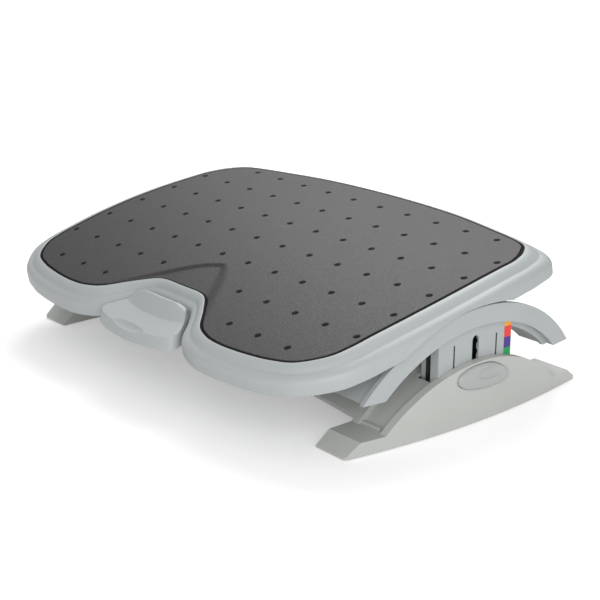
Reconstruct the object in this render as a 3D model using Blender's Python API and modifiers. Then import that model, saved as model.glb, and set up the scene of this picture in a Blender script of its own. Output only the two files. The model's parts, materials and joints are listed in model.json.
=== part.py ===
"""Desk footrest: a tilting foot platform on a lift frame that stands in a two-footed base.

Metres, +Z up. X runs across the platform, Y from its pedal to its back edge.
The origin is on the floor under the middle of the whole footprint. Base and lift
frame are drawn about the middle of the feet, a little behind it, where STAND is.
Platform pieces are modelled square to the platform, about its tilt axis,
and hang on an empty that stands on that axis and holds the photographed tilt.
"""

import math

import bmesh
import bpy
from mathutils import Matrix, Vector

MM = 0.001
SIDES = {"right": 1, "left": -1}
ENDS = {"front": -1, "rear": 1}
FIT = 0.3 * MM
JOIN = 0.5 * MM
WALL = 3 * MM
BEYOND = 300 * MM
WELD = 0.0005 * MM
FLAT_ANGLE = 0.4

# How far the middle of the feet lies behind the origin
STAND_Y = 28.4 * MM

# Tilt axis and the pose that is shown
AXIS_HEIGHT = -64 * MM
TILT = math.radians(10.356)
HEIGHT_STEP = 11.1 * MM
HEIGHT_STOPS = 4

# Base: two feet and the vault between them
FOOT_END = 160 * MM
FOOT_INNER_X = 221 * MM
FOOT_OUTER_X = 276.7 * MM
FOOT_BOW = 8.6 * MM
BOW_SPAN = 120 * MM
FOOT_BOTTOM = 0.8 * MM
FOOT_EDGE_TOP = 2.7 * MM
BLOCK_END = 143.5 * MM
BLOCK_TOP = 14.6 * MM
FOOT_CORNER = 4 * MM
FOOT_EDGE = 0.9 * MM
HUMP_TOP = 62.6 * MM
HUMP_HALF = 115.9 * MM
VAULT_THICKNESS = 3 * MM
VAULT_SHORT = 2.5 * MM
VAULT_BOW = 7 * MM
LIP = 8.5 * MM
RIB_OUTER_X = 230 * MM
TUNNEL_DEPTH = 6 * MM
TUNNEL_SHORT = 6.4 * MM
TUNNEL_END = 1.1 * MM
RIDGE_WIDTH = 2.5 * MM
RIDGE_HEIGHT = 2.6 * MM
RIDGE_END_X = 254.5 * MM
WELL_GAP = 0.6 * MM
BOSS_X = 243 * MM
BOSS_RADIUS = 4.5 * MM
COVER_TOP = 4.8 * MM
COVER_SHORT = 7.2 * MM
PAD_X = 241 * MM
PAD_SIZE = (22 * MM, 16 * MM)
PAD_FROM_END = 17 * MM
PAD_Y = FOOT_END - PAD_FROM_END
PAD_SEAT = 2.9 * MM
BOSS_FROM_PAD = 13 * MM
BOSS_Y = PAD_Y - BOSS_FROM_PAD
POST_X = (252 * MM, 257 * MM)
POST_HALF = 44 * MM
POST_TOP = 54 * MM
SPRING_SEAT = (4 * MM, 3.8 * MM)

# Lift frame: arch, columns and inner legs
ARCH_OUTER_X = 275 * MM
ARCH_BOW = 8 * MM
ARCH_EDGE = 2 * MM
ARCH_REACH = 150 * MM
ARCH_ANGLE = 1.2
PLATE_TOP = 177.5 * MM
PLATE_THICKNESS = 4 * MM
PLATE_UNDER = PLATE_TOP - PLATE_THICKNESS
CHEEK_RISE = 3 * MM
CHEEK_DEPTH = 19 * MM
ARCH_OUTER = PLATE_TOP + CHEEK_RISE
ARCH_INNER = ARCH_OUTER - CHEEK_DEPTH
ARCH_LIP = 5 * MM
BEAM_DEPTH = 21.5 * MM
BEAM_INNER = PLATE_TOP - BEAM_DEPTH
BEAM_WALL = 2.5 * MM
BEAM_GAP = 0.6 * MM
RIB_X = (256 * MM, 264.5 * MM)
ARCH_END_Z = 48.5 * MM
PLATE_SHORT = 0.3 * MM
SLOT_X = 120 * MM
SLOT_WIDTH = 14 * MM
SLOT_HALF_ANGLE = math.radians(24.5)
COLUMN_HALF = 50 * MM
COLUMN_WEB_X = (265 * MM, 268 * MM)
COLUMN_FLANGE_X = 258 * MM
COLUMN_BOTTOM = 39.5 * MM
COLUMN_TOP = ARCH_INNER - FIT
COLUMN_SLIT_Y = 29 * MM
SLIT_WIDTH = 2 * MM
SLIT_Z = (46 * MM, 82.2 * MM)
LATCH_SLOT_WIDTH = 9 * MM
LATCH_SLOT_Z = (42 * MM, 86.2 * MM)
COLUMN_SCREW_Y = 40 * MM
LEG_SCREW_Y = 25 * MM
LEDGE_Y = (33 * MM, 46 * MM)
LEDGE_INNER_X = 256.3 * MM
LEG_X = (240 * MM, 251 * MM)
LEG_HALF = 44 * MM
SCALE_WIDTH = 9.3 * MM
SCALE_MARGIN = 0.3 * MM
SCALE_BOTTOM = 52.3 * MM
SCALE_THICKNESS = 0.3 * MM
STRIP_HALF = 14 * MM
STRIP_ANGLES = (math.radians(-44), math.radians(-4))
STRIP_SINK = 1.5 * MM
STRIP_RISE = 0.1 * MM
RIDE_GAP = 0.4 * MM
RIDE_RADIUS = PLATE_TOP + RIDE_GAP

# Height button and its latch
LATCH_Z = 46 * MM
BUTTON_OUTER_X = 280 * MM
BUTTON_INNER_X = 275 * MM
BUTTON_EDGE = 1.2 * MM
BUTTON_GAP = 0.6 * MM
BUTTON_WELL_X = 270.7 * MM
BUTTON_CENTRE = (4.6 * MM, 46 * MM)
BUTTON_OUTLINE = (
    (-31.4, 48.6), (-28, 54.6), (-14.6, 59.2), (1.6, 59.8), (16.5, 57.6), (29.8, 51),
    (38.4, 43), (34.6, 37), (20.6, 34.2), (0.5, 34.4), (-18.6, 38.4), (-28.6, 43.4),
)
DIMPLE_CENTRE = (11.5 * MM, 50 * MM)
DIMPLE_HALF = (18.4 * MM, 6.6 * MM)
DIMPLE_DEPTH = 1.4 * MM
SHANK_RADIUS = 3 * MM
SHANK_SINK = 1 * MM
NOSE_X = (262.2 * MM, 264.7 * MM)
NOSE_HALF = 12 * MM
NOSE_THICKNESS = 4 * MM
NOTCH_DEPTH = 1.2 * MM

# Platform, in its own frame with the tilt axis at the origin
PLATFORM_RISE = 15.8 * MM
CROWN_TOP = PLATE_TOP + PLATFORM_RISE
CROWN_RADIUS = 1504 * MM
MAT_THICKNESS = 4 * MM
TRAY_SEAT = 4.3 * MM
TRAY_UNDER = 7.3 * MM
SKIRT_DEPTH = 24 * MM
SKIRT_GAP = 2.5 * MM
RIB_DEPTH = 18 * MM
RIB_THICKNESS = 2 * MM
RIB_SPOTS_X = (72 * MM, 160 * MM, 225 * MM)
RIB_SPOTS_Y = (-142 * MM, 105 * MM, 140 * MM)
RIB_END_X = 240 * MM
PEDAL_BAY_X = 80 * MM
LUG_RADIUS = 4.5 * MM
PIN_END = 1.5 * MM
MAT_OUTLINE = (
    (0, -113.5), (27, -113.5), (43, -118.3), (65, -136.7), (87, -157), (108, -165.8),
    (130, -168.2), (152, -167.4), (174, -165), (195, -161.2), (220, -152), (239, -130),
    (245, -108.5), (247, -87), (249, -65), (250.6, -43), (251.7, 0), (250.4, 43),
    (247.4, 87), (245.2, 108), (235.4, 130), (217, 148.6), (163, 161.4), (108, 171.4),
    (54, 176), (0, 177.4),
)
RIM_OUTLINE = (
    (0, -133), (27, -133.6), (36, -136.6), (51.5, -151.5), (73, -176.3), (103, -186.8),
    (129, -188.6), (155, -187.5), (177, -185.3), (200, -181.2), (232.5, -169.2), (260.5, -142.5),
    (270.6, -117), (274.3, -92), (276.8, -67), (278.3, -44), (279.5, 0), (278.4, 43),
    (274.6, 88), (271, 116), (260.5, 149), (231, 165.2), (168, 179.8), (110, 190.6),
    (55, 195), (0, 196.4),
)
# Rim section: share of the way from mat to wall, and depth below the crown
RIM_SECTION = (
    (0.06, 0), (0.13, 0.3), (0.4, 2.6), (0.58, 5.6), (0.66, 6.5), (0.84, 7.7), (0.95, 9.9), (1, 14),
    (1, SKIRT_DEPTH / MM), (0.85, SKIRT_DEPTH / MM), (0.85, 12.5), (0.7, 9.8),
    (0.06, TRAY_UNDER / MM),
)
HOLE_RADIUS = 3 * MM
HOLE_PITCH = (43.4 * MM, 47 * MM)
FULL_ROW = range(12)
HOLE_ROWS = (
    (1, 2, 3, 8, 9, 10), (0, 1, 2, 3, 4, 7, 8, 9, 10, 11), FULL_ROW, FULL_ROW, FULL_ROW,
    FULL_ROW, range(1, 11),
)
# Sloped field behind the pedal: its upper fold and its lower edge
FOLD = ((0, -60), (18, -70), (30, -82), (44, -100.4), (57, -118.3), (76.6, -143), (88, -156))
FIELD_EDGE = ((0, -113.5), (14, -113.5), (27, -113.5), (38, -116.4), (50, -123.5), (68, -139.5),
              (88, -157.6))
FIELD_DEPTH = 2.4 * MM
FIELD_RUN = 40 * MM
FIELD_STEP = 4 * MM
FIELD_BEYOND = 6 * MM
SHOE_X = 190 * MM
SHOE_HALF = 15 * MM
SHOE_EDGE = 0.8 * MM
SHOE_ANGLES = (math.radians(10), math.radians(24))
KEEPER_STEM_HALF = 6 * MM
KEEPER_HEAD_HALF = 13 * MM
KEEPER_HALF_ANGLE = math.radians(8)
KEEPER_GAP = 0.6 * MM
KEEPER_HEAD_DEPTH = 4.4 * MM
KEEPER_SCREW_Y = 12 * MM
TRAY_SHARE = 0.2

# Release pedal and brake, in the platform's frame
PEDAL_PIVOT = (-124 * MM, CROWN_TOP - 22.1 * MM)
BRAKE_PIVOT = (-50 * MM, PLATE_TOP)
PIN_RADIUS = 2 * MM
PIN_HOLE = 2.3 * MM
PEDAL_LUG_X = (22 * MM, 25 * MM)
BRAKE_LUG_X = (12 * MM, 15 * MM)
WINDOW_HALF = 20 * MM
WINDOW_Y = (-145 * MM, -126.5 * MM)
WINDOW_GAP = 1.4 * MM
ARM_X = (12.5 * MM, 16.5 * MM)
ARM_Z = (PEDAL_PIVOT[1] - 3.7 * MM, PEDAL_PIVOT[1] + 2.8 * MM)
ARM_Y = (-138 * MM, -98 * MM)
ARM_WEB_Y = (-151 * MM, -137.5 * MM)
ARM_WEB_DEPTH = 12 * MM
ARM_BAR = 3.5 * MM
BAR_TOP = ARM_Z[1] + 0.1 * MM
BRAKE_ARM_HALF = 9 * MM
BRAKE_ARM_THICKNESS = 3.6 * MM
BRAKE_ARM_END = -103 * MM
BRAKE_EYE = 4.3 * MM
BRAKE_SHOE_Y = (-80 * MM, -64 * MM)
BRAKE_SHOE_THICKNESS = 3.5 * MM
BRAKE_HOLDER = 2 * MM
BRAKE_EDGE = 0.4 * MM
PEDAL_HEIGHT = 31.5 * MM
PEDAL_BOTTOM = CROWN_TOP - PEDAL_HEIGHT
PEDAL_SHELL = 2.5 * MM
PEDAL_EDGE = 0.8 * MM
PEDAL_FOOT = (
    (0, -196), (30, -193.5), (50, -189.5), (60.5, -185), (64, -179), (63.5, -172), (59.5, -165.5),
    (53.5, -157.8), (47.5, -150.5), (41.5, -143.5), (34.5, -138.8), (26, -136.6), (0, -136.4),
)
PEDAL_BROW = (
    (0, -184), (30, -183), (48, -179.6), (56, -176), (58.5, -171), (57.5, -166.5), (54, -160.5),
    (49.5, -154.5), (44.5, -148.5), (39.5, -142.6), (33.5, -138.8), (26, -136.9), (0, -136.7),
)
PEDAL_RISE = 27 * MM
# Wedge's top and back seen from the side: Y and depth below the crown's top
PEDAL_PROFILE = ((-215, 5.2), (-144.5, 5.2), (-142.5, 5.6), (-141, 6.4), (-138, 9), (-130, 17))
# Wedge seen from the front: half width and depth below the crown's top
PEDAL_FRONT = ((0, 4), (15, 4.3), (25, 5.2), (35, 7.4), (43, 10.5), (50, 14.5), (54, 17.2), (70, 19.5))
# Tread's floor: Y and depth; its back edge and the wedge's crest in plan: half width and Y
PEDAL_TREAD = ((-215, 21.5), (-178, 19.5), (-158, 16.8), (-130, 16.2))
PEDAL_CREASE = ((0, -162), (16, -161.4), (32, -159.4), (44, -156.6), (56, -152), (72, -144))
PEDAL_CREST = ((0, -144.5), (16, -144.6), (32, -145.2), (44, -146), (56, -145), (72, -140))
# The riser between them: share of the way in plan and share of its height
PEDAL_RISER = ((0, 0), (0.22, 0.15), (0.72, 0.83), (0.89, 0.96), (1, 1))
SCOOP_CENTRE = (0, -191.5 * MM, CROWN_TOP - 15.8 * MM)
SCOOP_HALF = (35 * MM, 10 * MM, 7 * MM)
PEDAL_SPRING_REACH = 9 * MM
PEDAL_SPRING_RADIUS = 4.2 * MM
PEDAL_SPRING_WIRE = 0.6 * MM
PEDAL_SPRING_LEGS = (4 * MM, 9 * MM)

# Fastener sizes
SCREW_RADIUS = 1.2 * MM
SCREW_HOLE = 1.5 * MM
HEAD_RADIUS = 2.8 * MM
HEAD_GAP = 0.4 * MM
HEAD_HEIGHT = 1.6 * MM
HOLE_DEPTH = 20 * MM
BASE_SCREW = 7 * MM
FRAME_SCREW = 9 * MM
PLATFORM_SCREW = 8 * MM

for existing in list(bpy.data.objects):
    bpy.data.objects.remove(existing, do_unlink=True)
PARTS = bpy.data.collections.new("footrest")
bpy.context.scene.collection.children.link(PARTS)
STAND = bpy.data.objects.new("stand", None)
STAND.location.y = STAND_Y
PARTS.objects.link(STAND)


# Materials

def linear(channel):
    """An sRGB channel as a linear value."""
    return channel / 12.92 if channel <= 0.04045 else ((channel + 0.055) / 1.055) ** 2.4


def material(name, colour, roughness, metallic=0.0):
    """A plain Principled material from an sRGB hex colour."""
    made = bpy.data.materials.new(name)
    made.use_nodes = True
    shader = made.node_tree.nodes["Principled BSDF"]
    channels = [int(colour[i:i + 2], 16) / 255 for i in (0, 2, 4)]
    shader.inputs["Base Color"].default_value = (*(linear(c) for c in channels), 1)
    shader.inputs["Roughness"].default_value = roughness
    shader.inputs["Metallic"].default_value = metallic
    return made


RIM_GREY = material("rim_grey_plastic", "BFC1C2", 0.45)
BASE_GREY = material("base_grey_plastic", "C3C4C2", 0.5)
BUTTON_GREY = material("button_grey_plastic", "B4B6B6", 0.4)
INNER_GREY = material("inner_grey_plastic", "A9ABAB", 0.55)
INNER_BLACK = material("inner_black_plastic", "232324", 0.6)
CHARCOAL = material("charcoal_rubber", "5A585A", 0.85)
BLACK = material("black_rubber", "1C1C1D", 0.9)
ACETAL = material("white_acetal", "E4E2DA", 0.4)
LABEL = material("scale_label", "FBB02E", 0.5)
STEEL = material("zinc_steel", "B8BABD", 0.35, 1.0)
SPRING = material("spring_steel", "8E9196", 0.3, 1.0)


# Solids

def add(name, mesh):
    """A new object of the part with this mesh."""
    made = bpy.data.objects.new(name, mesh)
    PARTS.objects.link(made)
    return made


def bake(part):
    """Turns an object and its modifiers into a plain closed mesh."""
    bpy.context.view_layer.update()
    graph = bpy.context.evaluated_depsgraph_get()
    mesh = bpy.data.meshes.new_from_object(part.evaluated_get(graph))
    shape = bmesh.new()
    shape.from_mesh(mesh)
    bmesh.ops.remove_doubles(shape, verts=shape.verts, dist=WELD)
    shape.to_mesh(mesh)
    shape.free()
    if part.type == "MESH":
        part.modifiers.clear()
        part.data = mesh
        return part
    name, place = part.name, part.matrix_world.copy()
    bpy.data.objects.remove(part, do_unlink=True)
    made = add(name, mesh)
    made.matrix_world = place
    return made


def combine(part, tool, operation="DIFFERENCE"):
    """Cuts, joins or intersects a part with a tool, which is used up."""
    change = part.modifiers.new(operation.lower(), "BOOLEAN")
    change.object = tool
    change.operation = operation
    change.solver = "EXACT"
    bake(part)
    bpy.data.objects.remove(tool, do_unlink=True)
    return part


def prism(name, axis, outline, low, high):
    """A flat outline drawn out along X (outline in Y, Z), Y (in X, Z) or Z (in X, Y)."""
    curve = bpy.data.curves.new(name, "CURVE")
    curve.dimensions = "2D"
    curve.fill_mode = "BOTH"
    curve.extrude = abs(high - low) / 2
    line = curve.splines.new("POLY")
    line.points.add(len(outline) - 1)
    for point, (across, up) in zip(line.points, outline):
        point.co = (across, up, 0, 1)
    line.use_cyclic_u = True
    part = bake(add(name, curve))
    middle = (low + high) / 2
    turn = {
        "X": Matrix(((0, 0, 1, middle), (1, 0, 0, 0), (0, 1, 0, 0), (0, 0, 0, 1))),
        "Y": Matrix(((1, 0, 0, 0), (0, 0, -1, middle), (0, 1, 0, 0), (0, 0, 0, 1))),
        "Z": Matrix.Translation((0, 0, middle)),
    }[axis]
    part.data.transform(turn)
    return part


def box(name, low, high):
    """A box between two corners."""
    shape = bmesh.new()
    bmesh.ops.create_cube(shape, size=1)
    size = [abs(b - a) for a, b in zip(low, high)]
    middle = [(a + b) / 2 for a, b in zip(low, high)]
    bmesh.ops.transform(shape, matrix=Matrix.LocRotScale(middle, None, size), verts=shape.verts)
    mesh = bpy.data.meshes.new(name)
    shape.to_mesh(mesh)
    shape.free()
    return add(name, mesh)


def rods(name, places, radius, length, segments=10):
    """Round bars of one size, each centred on a matrix whose Z is its length."""
    shape = bmesh.new()
    for place in places:
        bmesh.ops.create_cone(shape, cap_ends=True, segments=segments, radius1=radius,
                              radius2=radius, depth=length, matrix=place)
    mesh = bpy.data.meshes.new(name)
    shape.to_mesh(mesh)
    shape.free()
    return add(name, mesh)


def dome(name, middle, half):
    """An ellipsoid about a point."""
    shape = bmesh.new()
    bmesh.ops.create_uvsphere(shape, u_segments=16, v_segments=9, radius=1)
    bmesh.ops.transform(shape, matrix=Matrix.LocRotScale(middle, None, half), verts=shape.verts)
    mesh = bpy.data.meshes.new(name)
    shape.to_mesh(mesh)
    shape.free()
    return add(name, mesh)


def along_x(x, y, z):
    """A place at a point, with its length along X."""
    return Matrix.Translation((x, y, z)) @ Matrix.Rotation(math.pi / 2, 4, "Y")


def rounded(part, width, segments=2, angle=40):
    """Rounds a part's edges that are sharper than an angle."""
    edge = part.modifiers.new("bevel", "BEVEL")
    edge.width = width
    edge.segments = segments
    edge.limit_method = "ANGLE"
    edge.angle_limit = math.radians(angle)
    return bake(part)


def loft(name, rings, capped):
    """Skins a stack of equal rings: with end caps, or closed on itself."""
    shape = bmesh.new()
    loops = [[shape.verts.new(point) for point in ring] for ring in rings]
    count = len(rings[0])
    pairs = list(zip(loops, loops[1:]))
    if capped:
        shape.faces.new(loops[0])
        shape.faces.new(loops[-1])
    else:
        pairs.append((loops[-1], loops[0]))
    for lower, upper in pairs:
        for i in range(count):
            j = (i + 1) % count
            shape.faces.new((lower[i], lower[j], upper[j], upper[i]))
    bmesh.ops.triangulate(shape, faces=shape.faces)
    bmesh.ops.recalc_face_normals(shape, faces=shape.faces)
    mesh = bpy.data.meshes.new(name)
    shape.to_mesh(mesh)
    shape.free()
    return add(name, mesh)


def turned(name, profile, segments=8):
    """A turned mesh from a profile of radius and height, top to bottom."""
    mesh = bpy.data.meshes.new(name)
    edges = [(i, i + 1) for i in range(len(profile) - 1)]
    mesh.from_pydata([(radius, 0, height) for radius, height in profile], edges, [])
    part = add(name, mesh)
    lathe = part.modifiers.new("lathe", "SCREW")
    lathe.steps = segments
    lathe.render_steps = segments
    lathe.use_merge_vertices = True
    lathe.merge_threshold = 0.005 * MM
    bake(part)
    mesh = part.data
    bpy.data.objects.remove(part, do_unlink=True)
    return mesh


def screws(name, places, length, parent=STAND):
    """Equal pan-head screws: each place is the seat of a head, its shank along -Z."""
    bolt = turned(name, (
        (0, HEAD_HEIGHT), (HEAD_RADIUS, HEAD_HEIGHT * 0.5), (HEAD_RADIUS, 0), (SCREW_RADIUS, 0),
        (SCREW_RADIUS * 0.8, -length), (0, -length),
    ))
    bolt.materials.append(STEEL)
    for number, place in enumerate(places, 1):
        copy = add(f"{name}_{number}", bolt)
        copy.parent = parent
        copy.matrix_local = place


def coil(name, radius, wire, length, turns, place, steps=8):
    """A coil spring along X from the place's origin."""
    curve = bpy.data.curves.new(name, "CURVE")
    curve.dimensions = "3D"
    curve.bevel_depth = wire
    curve.bevel_resolution = 0
    curve.use_fill_caps = True
    line = curve.splines.new("POLY")
    count = int(turns * steps)
    line.points.add(count)
    for i, point in enumerate(line.points):
        angle = 2 * math.pi * i / steps
        point.co = (length * i / count, radius * math.cos(angle), radius * math.sin(angle), 1)
    part = bake(add(name, curve))
    part.data.transform(place)
    return part


def simplify(part):
    """Merges the flat faces that cuts have split."""
    shape = bmesh.new()
    shape.from_mesh(part.data)
    bmesh.ops.dissolve_limit(shape, angle_limit=math.radians(FLAT_ANGLE), verts=shape.verts,
                             edges=shape.edges)
    bmesh.ops.triangulate(shape, faces=shape.faces)
    shape.to_mesh(part.data)
    shape.free()


def finish(part, paint, parent=STAND, pivot=(0, 0, 0)):
    """Gives a part its material, its smooth faces, its parent and its origin."""
    simplify(part)
    part.data.materials.clear()
    part.data.materials.append(paint)
    part.data.shade_smooth()
    part.data.set_sharp_from_angle(angle=math.radians(32))
    part.data.transform(Matrix.Translation([-value for value in pivot]))
    part.parent = parent
    return part


def axis_empty(name, place, parent=STAND, turn=0.0):
    """An empty on a joint's axis."""
    made = bpy.data.objects.new(name, None)
    PARTS.objects.link(made)
    made.location = place
    made.rotation_euler.x = turn
    made.parent = parent
    return made


# Outlines

def arc(centre, radius, low, high, steps):
    """Points on a crown about a centre on the Z line, from low Y to high Y."""
    start, end = math.asin(low / radius), math.asin(high / radius)
    angles = [start + (end - start) * i / steps for i in range(steps + 1)]
    return [(radius * math.sin(a), centre + radius * math.cos(a)) for a in angles]


def ring_sector(inner, outer, start, end, steps, centre=0.0):
    """A ring's sector between two angles from +Z, as Y and Z."""
    angles = [start + (end - start) * i / steps for i in range(steps + 1)]
    top = [(outer * math.sin(a), centre + outer * math.cos(a)) for a in angles]
    return top + [(inner * math.sin(a), centre + inner * math.cos(a)) for a in reversed(angles)]


def bowed(inner, middle, bow, half, corner=0.0, steps=13):
    """A plan with a straight inner side and an outer side that bows in towards its ends."""
    reach = half - corner
    stations = [reach * (2 * i / steps - 1) for i in range(steps + 1)]
    line = [(middle - bow * (y / BOW_SPAN) ** 2, y) for y in stations]
    if corner:
        edge = line[-1][0] - corner
        turn = [(edge + corner * math.sin(a), reach + corner * math.cos(a))
                for a in (math.radians(60), math.radians(30), 0)]
        line = [(x, -y) for x, y in reversed(turn)] + line + turn
    return [(inner, -half)] + line + [(inner, half)]


def sided(outline, side):
    """A plan outline on the right or, mirrored, on the left."""
    return [(x * side, y) for x, y in outline]


def curve_through(points, steps):
    """A closed smooth loop through points, with equal steps between each two."""
    count = len(points)
    loop = []
    for i in range(count):
        a, b, c, d = (points[(i + k) % count] for k in (-1, 0, 1, 2))
        for s in range(steps):
            t = s / steps
            loop.append((2 * b + (c - a) * t + (2 * a - 5 * b + 4 * c - d) * t ** 2
                         + (3 * b - a - 3 * c + d) * t ** 3) / 2)
    return loop


def smooth_loop(half):
    """A closed loop through half an outline in millimetres and its mirror image."""
    points = [Vector(p) * MM for p in half]
    points += [Vector((-p.x, p.y)) for p in reversed(points[1:-1])]
    return curve_through(points, 2)


def mirrored(half):
    """An open line in millimetres with its mirror image before it, from left to right."""
    points = [(x * MM, y * MM) for x, y in half]
    return [(-x, y) for x, y in reversed(points[1:])] + points


def between(table, x):
    """The value of a table of pairs at x, straight between its entries."""
    for (x0, y0), (x1, y1) in zip(table, table[1:]):
        if x <= x1:
            return y0 + (y1 - y0) * (x - x0) / (x1 - x0)
    return table[-1][1]


def crown(y, depth=0.0):
    """Height of the platform's crown above the tilt axis, less a depth."""
    return CROWN_TOP - y ** 2 / (2 * CROWN_RADIUS) - depth


def slab(name, plan, top, under):
    """A crowned slab between two depths, with a plan outline."""
    reach = max(y for _, y in plan) + JOIN
    stations = [reach * (2 * i / 15 - 1) for i in range(16)]
    section = [(y, crown(y, top)) for y in stations]
    section += [(y, crown(y, under)) for y in reversed(stations)]
    part = prism(name, "X", section, -BEYOND, BEYOND)
    return combine(part, prism("plan", "Z", plan, 0, BEYOND), "INTERSECT")


def arch_ring(inner, outer, short=0.0, lift=0.0, steps=27):
    """The arch's section between two radii, in Y and Z, short of its level ends or above them."""
    rise = ARCH_END_Z + lift - AXIS_HEIGHT
    far, near = (math.sqrt(radius ** 2 - rise ** 2) - short for radius in (outer, inner))
    top = arc(AXIS_HEIGHT, outer, -far, far, steps)
    under = arc(AXIS_HEIGHT, inner, -near, near, steps)
    return top + under[::-1]


def span(side, low, high):
    """Two X values on one side, low first."""
    return sorted((side * low, side * high))


# Base

def hump():
    """Radius of the feet's rounded top and the height of its centre."""
    rise = HUMP_TOP - BLOCK_TOP
    radius = (HUMP_HALF ** 2 + rise ** 2) / (2 * rise)
    return radius, HUMP_TOP - radius


def base_frame():
    """Both feet and the vault between them, hollow from below."""
    radius, centre = hump()
    shoulder = [(BLOCK_END, BLOCK_TOP), (FOOT_END, FOOT_EDGE_TOP), (FOOT_END, FOOT_BOTTOM)]
    profile = [(-y, z) for y, z in reversed(shoulder)] + arc(centre, radius, -HUMP_HALF, HUMP_HALF, 27) + shoulder
    overlap = 4 * MM
    half = HUMP_HALF - VAULT_SHORT
    top = arc(centre, radius, -half, half, 25)
    under = arc(centre, radius - VAULT_THICKNESS, -half, half, 25)
    reach = FOOT_INNER_X + overlap
    part = prism("base_frame", "X", top + under[::-1], -reach, reach)
    stations = [reach * (2 * i / 11 - 1) for i in range(12)]
    edge = [(x, half + JOIN - VAULT_BOW * max(0, 1 - (x / FOOT_INNER_X) ** 2)) for x in stations]
    plan = edge + [(x, -y) for x, y in reversed(edge)]
    combine(part, prism("plan", "Z", plan, 0, BEYOND), "INTERSECT")
    for side in SIDES.values():
        foot = prism("foot", "X", profile, *span(side, FOOT_INNER_X, BEYOND))
        plan = bowed(FOOT_INNER_X - overlap, FOOT_OUTER_X, FOOT_BOW, FOOT_END, FOOT_CORNER)
        combine(foot, prism("plan", "Z", sided(plan, side), -WALL, BEYOND), "INTERSECT")
        combine(part, rounded(foot, FOOT_EDGE, 1), "UNION")
    for side in SIDES.values():
        hollow_foot(part, side)
    return finish(part, BASE_GREY)


def hollow_foot(part, side):
    """Cuts the column's tunnel, the space under it, the wells and the screw holes of one foot."""
    radius, centre = hump()
    lip_x = FOOT_OUTER_X - LIP
    half = HUMP_HALF - TUNNEL_SHORT
    clear = HUMP_HALF + TUNNEL_END
    floor = arc(centre, radius - TUNNEL_DEPTH, -half, half, 21)
    ridge_top = BLOCK_TOP + RIDGE_HEIGHT
    ends = [(half, BLOCK_TOP), (clear, BLOCK_TOP), (clear, BEYOND)]
    outer = [(-y, z) for y, z in reversed(ends)] + floor + ends
    ends = [(half, ridge_top), (half + RIDGE_WIDTH, ridge_top), (half + RIDGE_WIDTH, BLOCK_TOP)] + ends[1:]
    inner = [(-y, z) for y, z in reversed(ends)] + floor + ends
    for section, low, far in ((outer, RIDGE_END_X, BEYOND), (inner, RIB_OUTER_X, RIDGE_END_X + FIT)):
        tunnel = prism("tunnel", "X", section, *span(side, low, far))
        plan = bowed(RIB_OUTER_X - WALL, lip_x, FOOT_BOW, clear + WALL)
        combine(tunnel, prism("plan", "Z", sided(plan, side), -WALL, BEYOND), "INTERSECT")
        combine(part, tunnel)
    half -= WALL + 2 * JOIN
    room = arc(centre, radius - TUNNEL_DEPTH - WALL, -half, half, 15)
    end_y = FOOT_END - WALL - FIT
    end = [(BLOCK_END - TUNNEL_END, BLOCK_TOP - WALL), (end_y, FOOT_EDGE_TOP), (end_y, -WALL)]
    section = [(-y, z) for y, z in reversed(end)] + room + end
    cavity = prism("cavity", "X", section, *span(side, FOOT_INNER_X + WALL, BEYOND))
    plan = bowed(FOOT_INNER_X + WALL, lip_x, FOOT_BOW, FOOT_END - WALL)
    combine(cavity, prism("plan", "Z", sided(plan, side), -WALL, BEYOND), "INTERSECT")
    combine(part, cavity)
    low, far = span(side, LEG_X[0] - WELL_GAP, COLUMN_WEB_X[1] + HEAD_GAP)
    reach = COLUMN_HALF + WELL_GAP
    combine(part, box("well", (low, -reach, -WALL), (far, reach, BEYOND)))
    well = prism("button_well", "X", button_outline(BUTTON_GAP), *span(side, BUTTON_WELL_X, BEYOND))
    combine(part, well)
    place = along_x(side * BUTTON_WELL_X, 0, LATCH_Z)
    combine(part, rods("shank_hole", [place], SHANK_RADIUS + BUTTON_GAP, 2 * WALL + 2 * SHANK_RADIUS))
    boss_top = BLOCK_TOP - WALL + 2 * JOIN
    boss_low = COVER_TOP + FIT
    spots = [(side * BOSS_X, y) for y in (-BOSS_Y, BOSS_Y)]
    middles = [Matrix.Translation((x, y, (boss_top + boss_low) / 2)) for x, y in spots]
    combine(part, rods("bosses", middles, BOSS_RADIUS, boss_top - boss_low), "UNION")
    depth = 2 * (boss_top - boss_low - JOIN)
    middles = [Matrix.Translation((x, y, boss_low)) for x, y in spots]
    combine(part, rods("boss_holes", middles, SCREW_HOLE, depth))


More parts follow.
